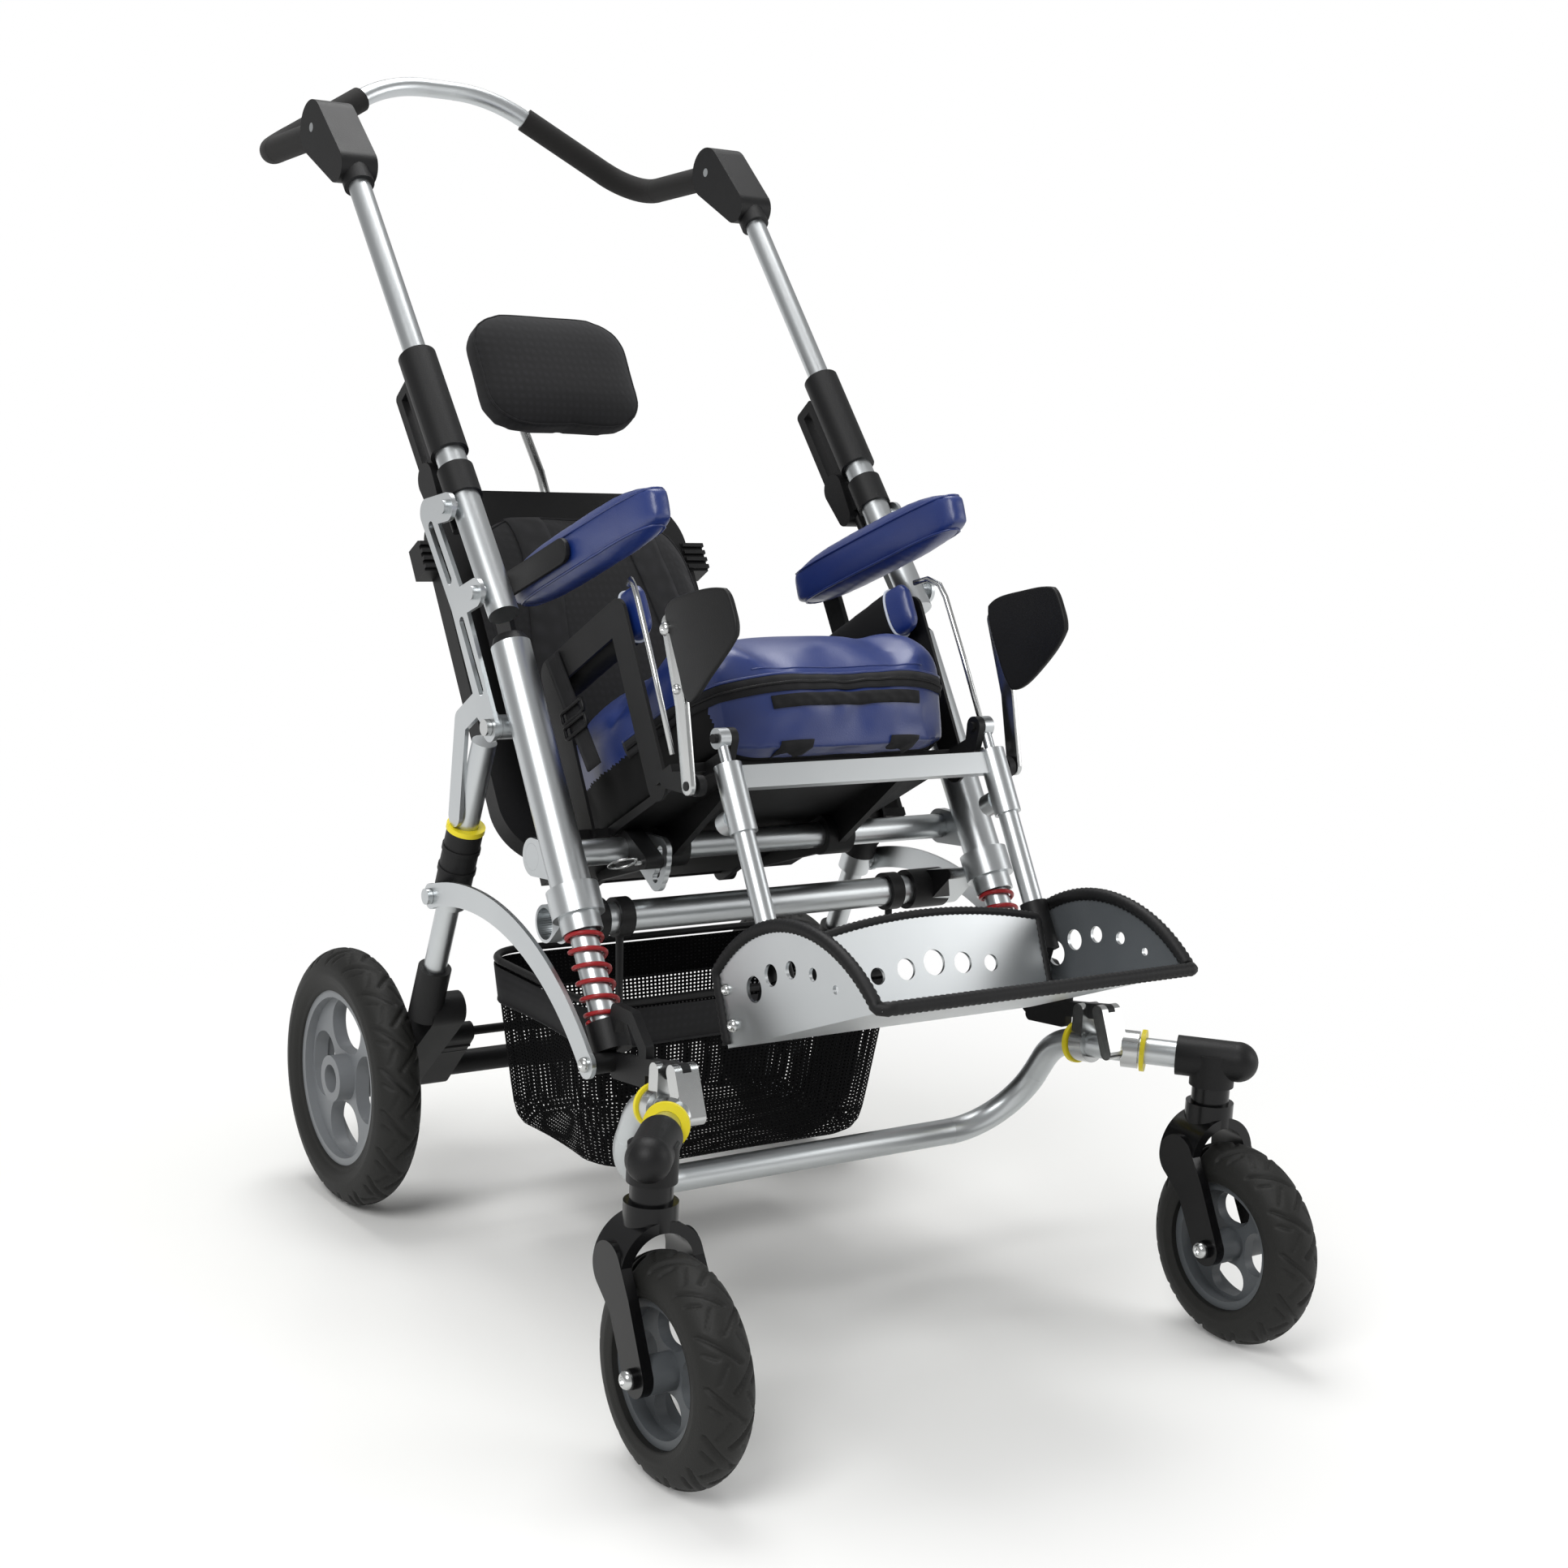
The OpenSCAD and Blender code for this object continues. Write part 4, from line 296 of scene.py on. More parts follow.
red_coat = moulded("red_powder_coat", "#8a1a1e", "#9c2226", 0.3, 1.5, 0.12)
pale_vinyl = moulded("pale_grey_vinyl_piping", "#b9c0cc", "#c9cfd8", 0.4, 1.5, 0.1)
print("moulded finishes:", sum("nylon" in m.name for m in bpy.data.materials), "of nylon")

# %% [markdown]
# ## Vinyl and cloth
# The covers are navy blue coated vinyl with an embossed pebble grain, about 1 mm across on the real sheet
# and drawn at 2.2 mm. It has a soft sheen that pales where it faces the light.
# The back and headrest are knitted spacer cloth and the straps woven polyester, both black.
# Threads are 0.5 mm; they are drawn at 1.2 to 3 mm.

# %% Blue vinyl
pebble_mm = 2.2
vinyl, tree, shader, place = finish_named("blue_coated_vinyl")
pebble = add(tree, "TexVoronoi", {"Vector": place, "Scale": 1000 / pebble_mm}, feature="DISTANCE_TO_EDGE")
cloud = noise(tree, place, 90, 4)
feed(tree, shader, {
    "Base Color": two_tones(tree, cloud, "#0b2160", "#123074"),
    "Roughness": between(tree, cloud, 0.36, 0.46),
    "Normal": dents(tree, pebble, 0.18, 0.0008),
    "IOR": 1.52,
    "Coat Weight": 0.5,
    "Coat Roughness": 0.38,
})
print("vinyl nodes:", len(tree.nodes))


# %% Black cloth, webbing and hook tape
def woven(name, hex_code, thread_code, thread_mm, relief, sheen):
    wave_factor = 20  # Blender's wave texture multiplies its place by this
    made, tree, shader, place = finish_named(name)
    pattern = {"Vector": place, "Scale": 1000 / thread_mm / wave_factor}
    slant, warp, weft = (
        add(tree, "TexWave", pattern, output="Fac", wave_type="BANDS", bands_direction=axis)
        for axis in ("DIAGONAL", "X", "Z")
    )
    cross = calculate(tree, "MULTIPLY", warp, weft)
    weave = calculate(tree, "ADD", cross, slant)
    cloud = noise(tree, place, 30, 5)
    feed(tree, shader, {
        "Base Color": two_tones(tree, calculate(tree, "MULTIPLY", cross, cloud), hex_code, thread_code),
        "Normal": dents(tree, weave, relief, 0.0008),
        "Roughness": 0.9,
        "Sheen Weight": sheen,
        "Sheen Roughness": 0.5,
        "Sheen Tint": linear("#8a8a90"),
    })
    return made


knit = woven("black_spacer_knit", "#0b0b0d", "#1a1a1d", 1.2, 0.08, 0.1)
webbing = woven("black_polyester_webbing", "#0e0e10", "#1e1e21", 3.0, 0.4, 0.08)
hook_tape = woven("black_hook_tape", "#08080a", "#131315", 1.6, 0.8, 0.04)
neoprene = moulded("black_neoprene", "#070708", "#0d0d0e", 0.75, 1.8, 0.12)
print("cloths:", knit.name, webbing.name, hook_tape.name, neoprene.name)

# %% [markdown]
# ## Finishes for the rigid CAD pieces
# A tube or housing whose CAD shape is right stays as it is and only needs its finish.
# Every CAD node gets one here. The soft and turned pieces made again further down replace theirs.

# %% Give each CAD node its finish
finish_of = {
    aluminium: "left_main_tube right_main_tube seat_pivot_tube lower_cross_tube front_bow_tube strut_tubes "
    "rear_leg_hooks rear_lower_legs side_links fold_plates lower_push_tubes upper_push_tubes push_bar "
    "legrest_frame footrest_tubes footplate",
    zinc: "fold_pivot_bolts bow_clamps tilt_lock_pin headrest_rod",
    nylon: "main_tube_plugs cross_tube_clamps strut_bushes basket_rim tie_down_brackets caster_arm_covers "
    "axle_housings rear_axle brake_pedals clamp_sleeves left_release_lever right_release_lever "
    "angle_housings seat_frame backrest_shell left_knee_guide right_knee_guide",
    gloss_nylon: "left_caster_fork right_caster_fork",
    foam: "push_bar_grips",
    buffer_rubber: "rear_elastomers",
    tyre_rubber: "left_caster_tyre right_caster_tyre left_rear_tyre right_rear_tyre",
    grey_nylon: "left_rear_rim right_rear_rim",
    dark_grey_nylon_and_shade: "left_caster_rim right_caster_rim",
    red_coat: "left_coil_spring right_coil_spring",
    yellow_ring: "clamp_bands elastomer_rings",
    vinyl: "seat_cushion side_pads left_armrest right_armrest",
    knit: "storage_basket backrest_pad headrest_pad",
}


def dress(made, *materials):
    """Gives a piece its finishes, in the order of its material slots."""
    made.data.materials.clear()
    for material in materials:
        made.data.materials.append(material)


for material, names in finish_of.items():
    for name in names.split():
        dress(nodes[name], material)
print("finished nodes:", sum(len(names.split()) for names in finish_of.values()))


# %% Two finishes on one node
def second_finish(name, material, chosen):
    """Gives the faces of a CAD node whose centre and normal pass a test a second finish."""
    mesh = nodes[name].data
    mesh.materials.append(material)
    marks = [int(chosen(face.center, face.normal)) for face in mesh.polygons]
    mesh.polygons.foreach_set("material_index", marks)
    return sum(marks)


leg_y, leg_z, ring_split = -0.356, 0.935, 0.375
clamp_from, arch_from, inwards = 0.2, 0.14, -0.1
dark_rings = second_finish(
    "elastomer_rings", buffer_rubber, lambda at, out: leg_z * at.z + leg_y * at.y < ring_split
)
silver_clamps = second_finish("cross_tube_clamps", aluminium, lambda at, out: abs(at.x) > clamp_from)
# The inward faces of the footplate's side plates get the dark grey finish: this is painted shade on the
# aluminium sheet.
painted_shade_faces = second_finish(
    "footplate", dark_grey_nylon_and_shade, lambda at, out: abs(at.x) > arch_from and out.x * at.x < inwards
)
print("faces with a second finish:", dark_rings + silver_clamps + painted_shade_faces)

# %% [markdown]
# ## Frames of reference
# The seat unit is tilted back by 30 degrees and the tubes lean, so it is easiest to build each piece
# straight and level in its own small frame and carry it over with a matrix.
# The numbers repeat the CAD source's own points.

# %% Frames of the seat, the back, the footplate and the tubes
def leaning(x, y, z, lean):
    return Matrix.Translation((x, y, z)) @ Matrix.Rotation(math.radians(-lean), 4, "X")


in_seat = leaning(0, -0.126, 0.407, 30)
on_back = in_seat @ leaning(0, 0.176, 0.026, 3)
in_foot = in_seat @ leaning(0, -0.176, -0.194, -8)


def on_main(side):
    return leaning(side * 0.226, -0.214, 0.358, 32.9)


sides = {"left": 1, "right": -1}
print("seat frame tilt:", round(math.degrees(in_seat.to_euler().x), 1))


# %% Make a mesh piece that rides a body
def piece(name, points, faces, material, body, place=Matrix.Identity(4), smooth=True):
    mesh = bpy.data.meshes.new(name)
    corners = [tuple(place @ Vector(p)) for p in points]
    mesh.from_pydata(corners, [], [tuple(int(i) for i in f) for f in faces])
    mesh.materials.append(material)
    work = bmesh.new()
    work.from_mesh(mesh)
    bmesh.ops.recalc_face_normals(work, faces=work.faces)
    work.to_mesh(mesh)
    work.free()
    mesh.polygons.foreach_set("use_smooth", [smooth] * len(mesh.polygons))
    made = bpy.data.objects.new(name, mesh)
    scene.collection.objects.link(made)
    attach(made, body)
    return made


def smoothed(made):
    made.data.polygons.foreach_set("use_smooth", [True] * len(made.data.polygons))


def full_turn(count):
    return np.linspace(0, 2 * math.pi, count, endpoint=False)


def ring_faces(rings, around, closed=True, capped=False):
    """Quads that join rings of points laid one after another."""
    span = around if closed else around - 1
    after = [(a + 1) % around for a in range(around)]
    faces = [
        (r * around + a, r * around + after[a], (r + 1) * around + after[a], (r + 1) * around + a)
        for r in range(rings - 1) for a in range(span)
    ]
    if capped:
        faces += [tuple(range(around - 1, -1, -1)), tuple((rings - 1) * around + a for a in range(around))]
    return faces


print("a ring of 4 over 2 rows has", len(ring_faces(2, 4)), "faces")

# %% [markdown]
# ## Tyres
# A solid tyre is moulded with its tread: long slanting grooves from each shoulder past the middle,
# and a short sipe between them. A flat texture would lose the notches at the edge of the wheel,
# so the tread is cut into a fine grid: each point sinks where it lies near the line of a groove.

# %% Tread and tyre
def groove_depth(along, across, step, reach, flank=1.6):
    """Depth in metres at places along and across the tread, repeated each step."""
    # Each cut: its start and end as shares of step and reach, then its half width and its depth.
    cuts = [
        ((0.00, -1.0), (0.62, 0.16), 0.0015, 0.0024),
        ((0.50, 1.0), (1.12, -0.16), 0.0015, 0.0024),
        ((0.36, -0.95), (0.50, -0.55), 0.0014, 0.0018),
        ((0.86, 0.95), (1.00, 0.55), 0.0014, 0.0018),
        ((0.14, 0.30), (0.46, 0.62), 0.0011, 0.0014),
        ((0.64, -0.30), (0.96, -0.62), 0.0011, 0.0014),
    ]
    depth = np.zeros_like(along)
    for (a0, b0), (a1, b1), half, deep in cuts:
        for turn in (-1, 0, 1):
            start = np.array([(a0 + turn) * step, b0 * reach])
            run = np.array([(a1 - a0) * step, (b1 - b0) * reach])
            offset = np.stack([along % step - start[0], across - start[1]], -1)
            share = np.clip(offset @ run / (run @ run), 0, 1)
            gap = np.linalg.norm(offset - share[..., None] * run, axis=-1)
            depth = np.maximum(depth, deep * np.clip(flank - gap / half, 0, 1))
    return depth


def tyre(name, body, cad_node, centre, radius, width, seat_radius, repeats, around, across):
    lowest_share, tread_share, bead_share = -0.62, 1.05, 1.62
    bead_half, bead_rise = 0.0012, 0.0006
    half = width / 2
    mid = radius - half
    low = math.asin(max((seat_radius - mid) / half, lowest_share))
    angles = np.linspace(low, math.pi - low, across)
    outline = np.stack([mid + half * np.sin(angles), -half * np.cos(angles)], -1)
    outline = np.concatenate([[[seat_radius, outline[0, 1]]], outline, [[seat_radius, outline[-1, 1]]]])
    arc = np.concatenate([[0], (angles - math.pi / 2) * half, [0]])
    turn = full_turn(around)
    circumference = 2 * math.pi * radius
    along, over = np.meshgrid(turn / (2 * math.pi) * circumference, arc, indexing="ij")
    depth = groove_depth(along, over, circumference / repeats, half * tread_share)
    depth[:, [0, -1]] = 0
    bead = np.exp(-((np.abs(over) - half * bead_share) / bead_half) ** 2) * bead_rise
    bead[:, [0, -1]] = 0
    normal = outline - [mid, 0]
    normal /= np.linalg.norm(normal, axis=1)[:, None]
    section = outline[None] + normal[None] * (bead - depth)[..., None]
    points = np.stack([
        centre[0] + section[..., 1],
        centre[1] + section[..., 0] * np.cos(turn)[:, None],
        centre[2] + section[..., 0] * np.sin(turn)[:, None],
    ], -1).reshape(-1, 3)
    count = len(outline)
    after = [(a + 1) % around for a in range(around)]
    beside = [(b + 1) % count for b in range(count)]
    faces = [
        (a * count + b, a * count + beside[b], after[a] * count + beside[b], after[a] * count + b)
        for a in range(around) for b in range(count)
    ]
    made = piece(name, points, faces, tyre_rubber, body)
    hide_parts(cad_node)
    return made


caster_at, rear_at = (0.294, -0.497, 0.09), (0.26, 0.176, 0.128)
caster_sizes = dict(radius=0.09, width=0.048, seat_radius=0.057, repeats=13, around=416, across=46)
rear_sizes = dict(radius=0.128, width=0.046, seat_radius=0.087, repeats=18, around=468, across=44)
for side, sign in sides.items():
    for kind, (x, y, z), sizes in (("caster", caster_at, caster_sizes), ("rear", rear_at, rear_sizes)):
        wheel = f"{side}_{kind}"
        tyre(f"{wheel}_treaded_tyre", f"{wheel}_wheel", f"{wheel}_tyre", (sign * x, y, z), **sizes)

# %% [markdown]
# ## Coil springs
# Each front leg rides on a coil of 4 mm wire, powder coated dark red, round the silver strut.
# A coil is one wire, so it is drawn as one swept circle: the pitch is even in the middle
# and closes at both ends, where the real coil is ground flat.

# %% Springs
def coil(name, side, turns=6.5, length=0.08, radius=0.015, wire=0.002, per_turn=28, wire_sides=10):
    flat_turns, rub = 0.55, 0.0006
    steps = int(turns * per_turn)
    share = np.linspace(0, 1, steps + 1)
    rise = np.clip((share * turns - flat_turns) / (turns - 2 * flat_turns), 0, 1)
    height = -wire - rise * (length - 2 * wire) - rub * (share - 0.5)
    turn = share * turns * 2 * math.pi
    path = np.stack([radius * np.cos(turn), radius * np.sin(turn), height], -1)
    run = np.gradient(path, axis=0)
    run /= np.linalg.norm(run, axis=1)[:, None]
    out = np.stack([np.cos(turn), np.sin(turn), np.zeros_like(turn)], -1)
    over = np.cross(run, out)
    cosine, sine = (wave(full_turn(wire_sides))[None, :, None] for wave in (np.cos, np.sin))
    points = path[:, None] + wire * (out[:, None] * cosine + over[:, None] * sine)
    faces = ring_faces(steps + 1, wire_sides, capped=True)
    place = on_main(sides[side])
    made = piece(name, points.reshape(-1, 3), faces, red_coat, "chassis", place)
    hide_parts(f"{side}_coil_spring")
    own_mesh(made)
    return made


for side in sides:
    print("spring points:", len(coil(f"{side}_wire_spring", side).data.vertices))

# %% [markdown]
# ## Sewn covers
# A cushion is foam in a sewn cover: it is fullest in the middle, its sides draw in, and its seams pull down.
# Modelling that by eye looks stiff, so each cover is a copy of the CAD solid, made a little smaller,
# turned to an even net of small faces and blown up as cloth. The swelling is capped to keep to its room.
# Seams and trims come afterwards, laid on the finished skin by casting rays at it.

# %% Copy, swell and smooth a cover
def copy_of(node, name, biggest=False):
    """A loose copy of a CAD node with its vertices joined, or only its biggest closed piece."""
    mesh = nodes[node].data.copy()
    work = bmesh.new()
    work.from_mesh(mesh)
    bmesh.ops.remove_doubles(work, verts=work.verts, dist=1e-5)
    if biggest:
        left, groups = set(work.verts), []
        while left:
            group, queue = set(), [left.pop()]
            while queue:
                vert = queue.pop()
                group.add(vert)
                queue += [v for e in vert.link_edges for v in e.verts if v in left]
                left -= {v for e in vert.link_edges for v in e.verts}
            groups.append(group)
        keep = max(groups, key=len)
        bmesh.ops.delete(work, geom=[v for v in work.verts if v not in keep])
    work.to_mesh(mesh)
    work.free()
    made = bpy.data.objects.new(name, mesh)
    scene.collection.objects.link(made)
    return made


def bake(cover):
    """Turns what the modifiers show into the mesh itself."""
    bpy.context.view_layer.update()
    shown = cover.evaluated_get(bpy.context.evaluated_depsgraph_get())
    cover.data = bpy.data.meshes.new_from_object(shown)
    cover.modifiers.clear()


def places(cover):
    return np.array([v.co for v in cover.data.vertices])


def swell(cover, voxel, cap, pressure=4.0, blow_steps=20):
    net = cover.modifiers.new("net", "REMESH")
    net.mode, net.voxel_size = "VOXEL", voxel
    smaller = cover.modifiers.new("smaller", "DISPLACE")
    smaller.strength, smaller.mid_level = -0.6 * cap, 0
    even = cover.modifiers.new("even", "SMOOTH")
    even.factor, even.iterations = 0.5, 4
    bake(cover)
    before = places(cover)
    cloth = cover.modifiers.new("blown_cover", "CLOTH")
    cloth.settings.use_pressure = True
    cloth.settings.uniform_pressure_force = pressure
    cloth.settings.effector_weights.gravity = 0
    for step in range(1, blow_steps + 1):
        scene.frame_set(step)
    bake(cover)
    scene.frame_set(1)
    move = places(cover) - before
    far = np.linalg.norm(move, axis=1)[:, None]
    move *= np.minimum(1, cap / np.maximum(far, 1e-9))
    cover.data.vertices.foreach_set("co", (before + move).ravel())
    for kind, name in (("SMOOTH", "relax"), ("SUBSURF", "finer")):
        cover.modifiers.new(name, kind)
    cover.modifiers["relax"].iterations = 5
    cover.modifiers["finer"].levels = cover.modifiers["finer"].render_levels = 1
    bake(cover)
    smoothed(cover)
    return round(1000 * float(np.linalg.norm(move, axis=1).max()), 1)


print("covers are simulated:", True)


# %% Lay seams, bands and pipings on a cover
def skin(cover):
    work = bmesh.new()
    work.from_mesh(cover.data)
    tree = BVHTree.FromBMesh(work)
    work.free()
    return tree


def on_skin(tree, place, at, towards, lift):
    """Where a ray from a point of the local frame meets the cover, or passes nearest, raised by lift."""
    start, goal = place @ Vector(at), place @ Vector(towards)
    hit, normal, _, _ = tree.ray_cast(start, (goal - start).normalized())
    if hit is None:
        hit, normal, _, _ = tree.find_nearest(goal)
    return hit + normal * lift


def strip(name, rows, material, body, thickness, closed=False):
    """A flat band whose rows of points already lie on a cover, given a thickness."""
    points = [p for row in rows for p in row]
    made = piece(name, points, ring_faces(len(rows), len(rows[0]), closed), material, body)
    solid = made.modifiers.new("thick", "SOLIDIFY")
    solid.thickness, solid.offset = thickness, 0
    bake(made)
    smoothed(made)
    return made


def tube(name, path, radius, material, body, closed=False, facets=8):
    """A round wire or piping along world points. The radius is one number, or one for each point."""
    path = np.array([tuple(p) for p in path])
    run = np.roll(path, -1, 0) - np.roll(path, 1, 0) if closed else np.gradient(path, axis=0)
    run /= np.linalg.norm(run, axis=1)[:, None]
    out = np.cross(run[0], [0.31, 0.57, 0.76])
    points = []
    for step, at in enumerate(path):
        out = out - run[step] * (out @ run[step])
        out /= np.linalg.norm(out)
        over = np.cross(run[step], out)
        thick = radius if np.isscalar(radius) else radius[step]
        points += [at + thick * (out * math.cos(a) + over * math.sin(a)) for a in full_turn(facets)]
    faces = ring_faces(len(path), facets, capped=not closed)
    if closed:
        last = (len(path) - 1) * facets
        shift = min(range(facets), key=lambda k: np.linalg.norm(points[last] - points[k]))
        faces += [
            (last + a, last + (a + 1) % facets, (a + 1 + shift) % facets, (a + shift) % facets)
            for a in range(facets)
        ]
    return piece(name, points, faces, material, body)


print("trims: strip and tube")


# %% Sheets and flat bars with a thickness
def thickened(made, thickness, edge, offset=-1.0):
    """Gives an open sheet its thickness and rounds its edges."""
    solid = made.modifiers.new("thick", "SOLIDIFY")
    solid.thickness, solid.offset = thickness, offset
    soft = made.modifiers.new("soft_edge", "BEVEL")
    soft.width, soft.segments, soft.limit_method, soft.angle_limit = edge, 3, "ANGLE", math.radians(50)
    bake(made)
    smoothed(made)
    return made


def bar_outline(path, half, steps=10):
    """Round-ended outline of a flat bar along points of the side view."""
    path = [Vector(p) for p in path]
    runs = [(b - a).normalized() for a, b in zip(path, path[1:])]
    offs = [Vector((-r.y, r.x)) for r in runs]
    corner = [offs[0]] + [(a + b) / (1 + a.dot(b)) for a, b in zip(offs, offs[1:])] + [offs[-1]]
    one = [p + half * c for p, c in zip(path, corner)]
    two = [p - half * c for p, c in zip(path, corner)]
    turns = [math.pi * k / steps for k in range(1, steps)]
    cap_end = [path[-1] + half * (offs[-1] * math.cos(t) + runs[-1] * math.sin(t)) for t in turns]
    cap_start = [path[0] + half * (-offs[0] * math.cos(t) - runs[0] * math.sin(t)) for t in turns]
    return one + cap_end + two[::-1] + cap_start


def flat_bar(name, path, half, x, thickness, material, body, place, edge=0.0008):
    outline = bar_outline(path, half)
    points = [(x, p.x, p.y) for p in outline]
    face = tuple(range(len(outline)))
    made = piece(name, points, [face], material, body, place, smooth=False)
    return thickened(made, thickness, edge, 0)


print("sheets: thickened and flat_bar")

# %% [markdown]
# ## Headrest
# A knitted cover over a foam block, with a welt where the front panel meets the boxing round the edge.

# %% Headrest cover and welt
facing_front = Matrix.Rotation(math.radians(90), 4, "X")
head_place = on_back @ Matrix.Translation((0, -0.052, 0.540)) @ facing_front
headrest = copy_of("headrest_pad", "headrest_cover")
moved = swell(headrest, 0.005, 0.003)
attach(headrest, "headrest")
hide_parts("headrest_pad")
dress(headrest, knit)


def welt(name, cover, place, height, material, body, radius=0.0011, count=120, lift=0.0004):
    """A piping round a pad that lies in the local XY plane, at one height of its edge."""
    tree = skin(cover)
    starts = [(math.cos(a), math.sin(a), height) for a in full_turn(count)]
    ring = [on_skin(tree, place, start, (0, 0, height), lift) for start in starts]
    return tube(name, ring, radius, material, body, closed=True)


welt("headrest_welt", headrest, head_place, 0.012, knit, "headrest")
print("headrest swelled by up to", moved, "mm")

# %% [markdown]
# ## Backrest
# The back is a black knitted pad with two webbing straps that run down it and hold the sitter's harness.

# %% Backrest cover and straps
back_place = on_back @ Matrix.Translation((0, -0.0123, 0.236)) @ facing_front
backrest = copy_of("backrest_pad", "backrest_cover")
moved = swell(backrest, 0.006, 0.005)
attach(backrest, "backrest")
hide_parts("backrest_pad")
dress(backrest, knit)
welt("backrest_welt", backrest, back_place, 0.010, knit, "backrest")
tree = skin(backrest)
strap_half, strap_x, strap_spread, spread_below = 0.019, 0.062, 0.14, 0.1
for side, sign in sides.items():
    rows = []
    for across in np.linspace(-strap_half, strap_half, 7):
        row = []
        for h in np.linspace(-0.145, 0.158, 40):
            x = sign * (strap_x + strap_spread * max(0, spread_below - h)) + across
            row.append(on_skin(tree, back_place, (x, h, 0.1), (x, h, 0), 0.0014))
        rows.append(row)
    strip(f"{side}_back_strap", rows, webbing, "backrest", 0.0016)
print("backrest swelled by up to", moved, "mm")

# %% [markdown]
# ## Seat cushion
# The seat has a vinyl cover with raised side wings. A black zip runs round its front and sides,
# with a strip of hook tape below it. The lower front panel is vinyl, and below the zip
# black neoprene covers the sides.

# %% Cushion cover
cushion = copy_of("seat_cushion", "seat_cushion_cover")
moved = swell(cushion, 0.006, 0.006)
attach(cushion, "seat")
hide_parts("seat_cushion")
dress(cushion, vinyl, neoprene)
to_seat = in_seat.inverted()
zip_foot, front_panel_y = 0.074, -0.165
spots = [to_seat @ face.center for face in cushion.data.polygons]
below = [int(at.z < zip_foot and at.y > front_panel_y) for at in spots]
cushion.data.polygons.foreach_set("material_index", below)
print("cushion swelled by up to", moved, "mm")


# %% Zip, hook tape and seams of the cushion
def round_cushion(height, lift, first, last, count, middle_y=-0.06, away=0.6):
    """Points on the cushion's sides at a height of the seat's frame; angles in degrees, 270 is the front."""
    tree = skin(cushion)
    points = []
    for a in np.radians(np.linspace(first, last, count)):
        start = (away * math.cos(a), middle_y + away * math.sin(a), height)
        points.append(on_skin(tree, in_seat, start, (0, middle_y, height), lift))
    return points


zip_rows = [round_cushion(z, 0.0012, 175, 365, 120) for z in np.linspace(0.070, 0.084, 5)]
strip("cushion_zip_tape", zip_rows, webbing, "seat", 0.0016)
teeth = round_cushion(0.077, 0.0022, 177, 363, 400)
tooth_radii = [0.0016 if k % 2 else 0.0011 for k in range(len(teeth))]
tube("cushion_zip_teeth", teeth, tooth_radii, nylon, "seat")
tape_rows = [round_cushion(z, 0.0010, 240, 300, 60) for z in np.linspace(0.056, 0.067, 4)]
strip("cushion_hook_tape", tape_rows, hook_tape, "seat", 0.0016)
tube("cushion_top_seam", round_cushion(0.0925, 0.0002, 236, 304, 100), 0.0007, vinyl, "seat")
tube("cushion_zip_lip", round_cushion(0.0855, 0.0008, 175, 365, 140), 0.0013, vinyl, "seat")
tree = skin(cushion)
tab_x, tab_half, tab_slant, tab_foot = 0.058, 0.016, 0.3, 0.02
for side, sign in sides.items():
    rows = []
    for x in np.linspace(sign * tab_x - tab_half, sign * tab_x + tab_half, 9):
        column = [(x + tab_slant * (z - tab_foot), z) for z in np.linspace(0.016, 0.030, 6)]
        rows.append([on_skin(tree, in_seat, (at, -0.5, z), (at, 0, z), 0.0012) for at, z in column])
    strip(f"{side}_cushion_tab", rows, webbing, "seat", 0.0018)
print("zip points:", len(teeth))

# %% [markdown]
# ## Armrests and side pads
# Each armrest is a long vinyl pad with a welt round its top panel, screwed to a black plate.
# The side pads are black neoprene with a roll of vinyl along the front edge and a pale piping beside it.

# %% Armrests
arm_hinge = (0.030, 0.270, -8)
arm_x, arm_middle_y, plate_x = 0.160, -0.1255, 0.1838
plate = [(0, 0), (-0.120, 0)]
plate_place = in_seat @ leaning(0, *arm_hinge)
lengthwise = Matrix.Rotation(math.radians(90), 4, "Z")
for side, sign in sides.items():
    arm = f"{side}_arm"
    place = in_seat @ leaning(sign * arm_x, *arm_hinge)
    place = place @ Matrix.Translation((0, arm_middle_y, 0)) @ lengthwise
    pad = copy_of(f"{side}_armrest", f"{side}_armrest_cover", biggest=True)
    moved = swell(pad, 0.005, 0.006)
    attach(pad, f"{side}_arm")
    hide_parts(f"{side}_armrest")
    dress(pad, vinyl)
    for height, name in ((0.014, "top"), (-0.016, "under")):
        welt(f"{side}_armrest_{name}_welt", pad, place, height, vinyl, arm, 0.0012, 160)
    name = f"{side}_armrest_plate"
    flat_bar(name, plate, 0.0115, sign * plate_x, 0.005, nylon, arm, plate_place)
print("armrest swelled by up to", moved, "mm")

# %% Side pads
side_pads = copy_of("side_pads", "side_pad_covers")
moved = swell(side_pads, 0.005, 0.006)
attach(side_pads, "seat")
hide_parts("side_pads")
dress(side_pads, vinyl, neoprene)
roll_back, away = -0.118, 0.2
pad_x, pad_y, pad_z = 0.146, -0.117, 0.177
behind_roll = [int((to_seat @ face.center).y > roll_back) for face in side_pads.data.polygons]
side_pads.data.polygons.foreach_set("material_index", behind_roll)
tree = skin(side_pads)
for side, sign in sides.items():
    middle = (sign * pad_x, pad_y, pad_z)
    starts = [(middle[0] + away * math.cos(a), pad_y, pad_z + away * math.sin(a)) for a in full_turn(90)]
    ring = [on_skin(tree, in_seat, start, middle, 0.0006) for start in starts]
    tube(f"{side}_side_pad_piping", ring, 0.0013, pale_vinyl, "seat", closed=True)
print("side pads swelled by up to", moved, "mm")

# %% [markdown]
# ## Hip straps and stays
# A webbing strap with a ladder buckle hangs outside each side panel, and a thin steel rod
# stays each side pad from the front corner of the seat pan.

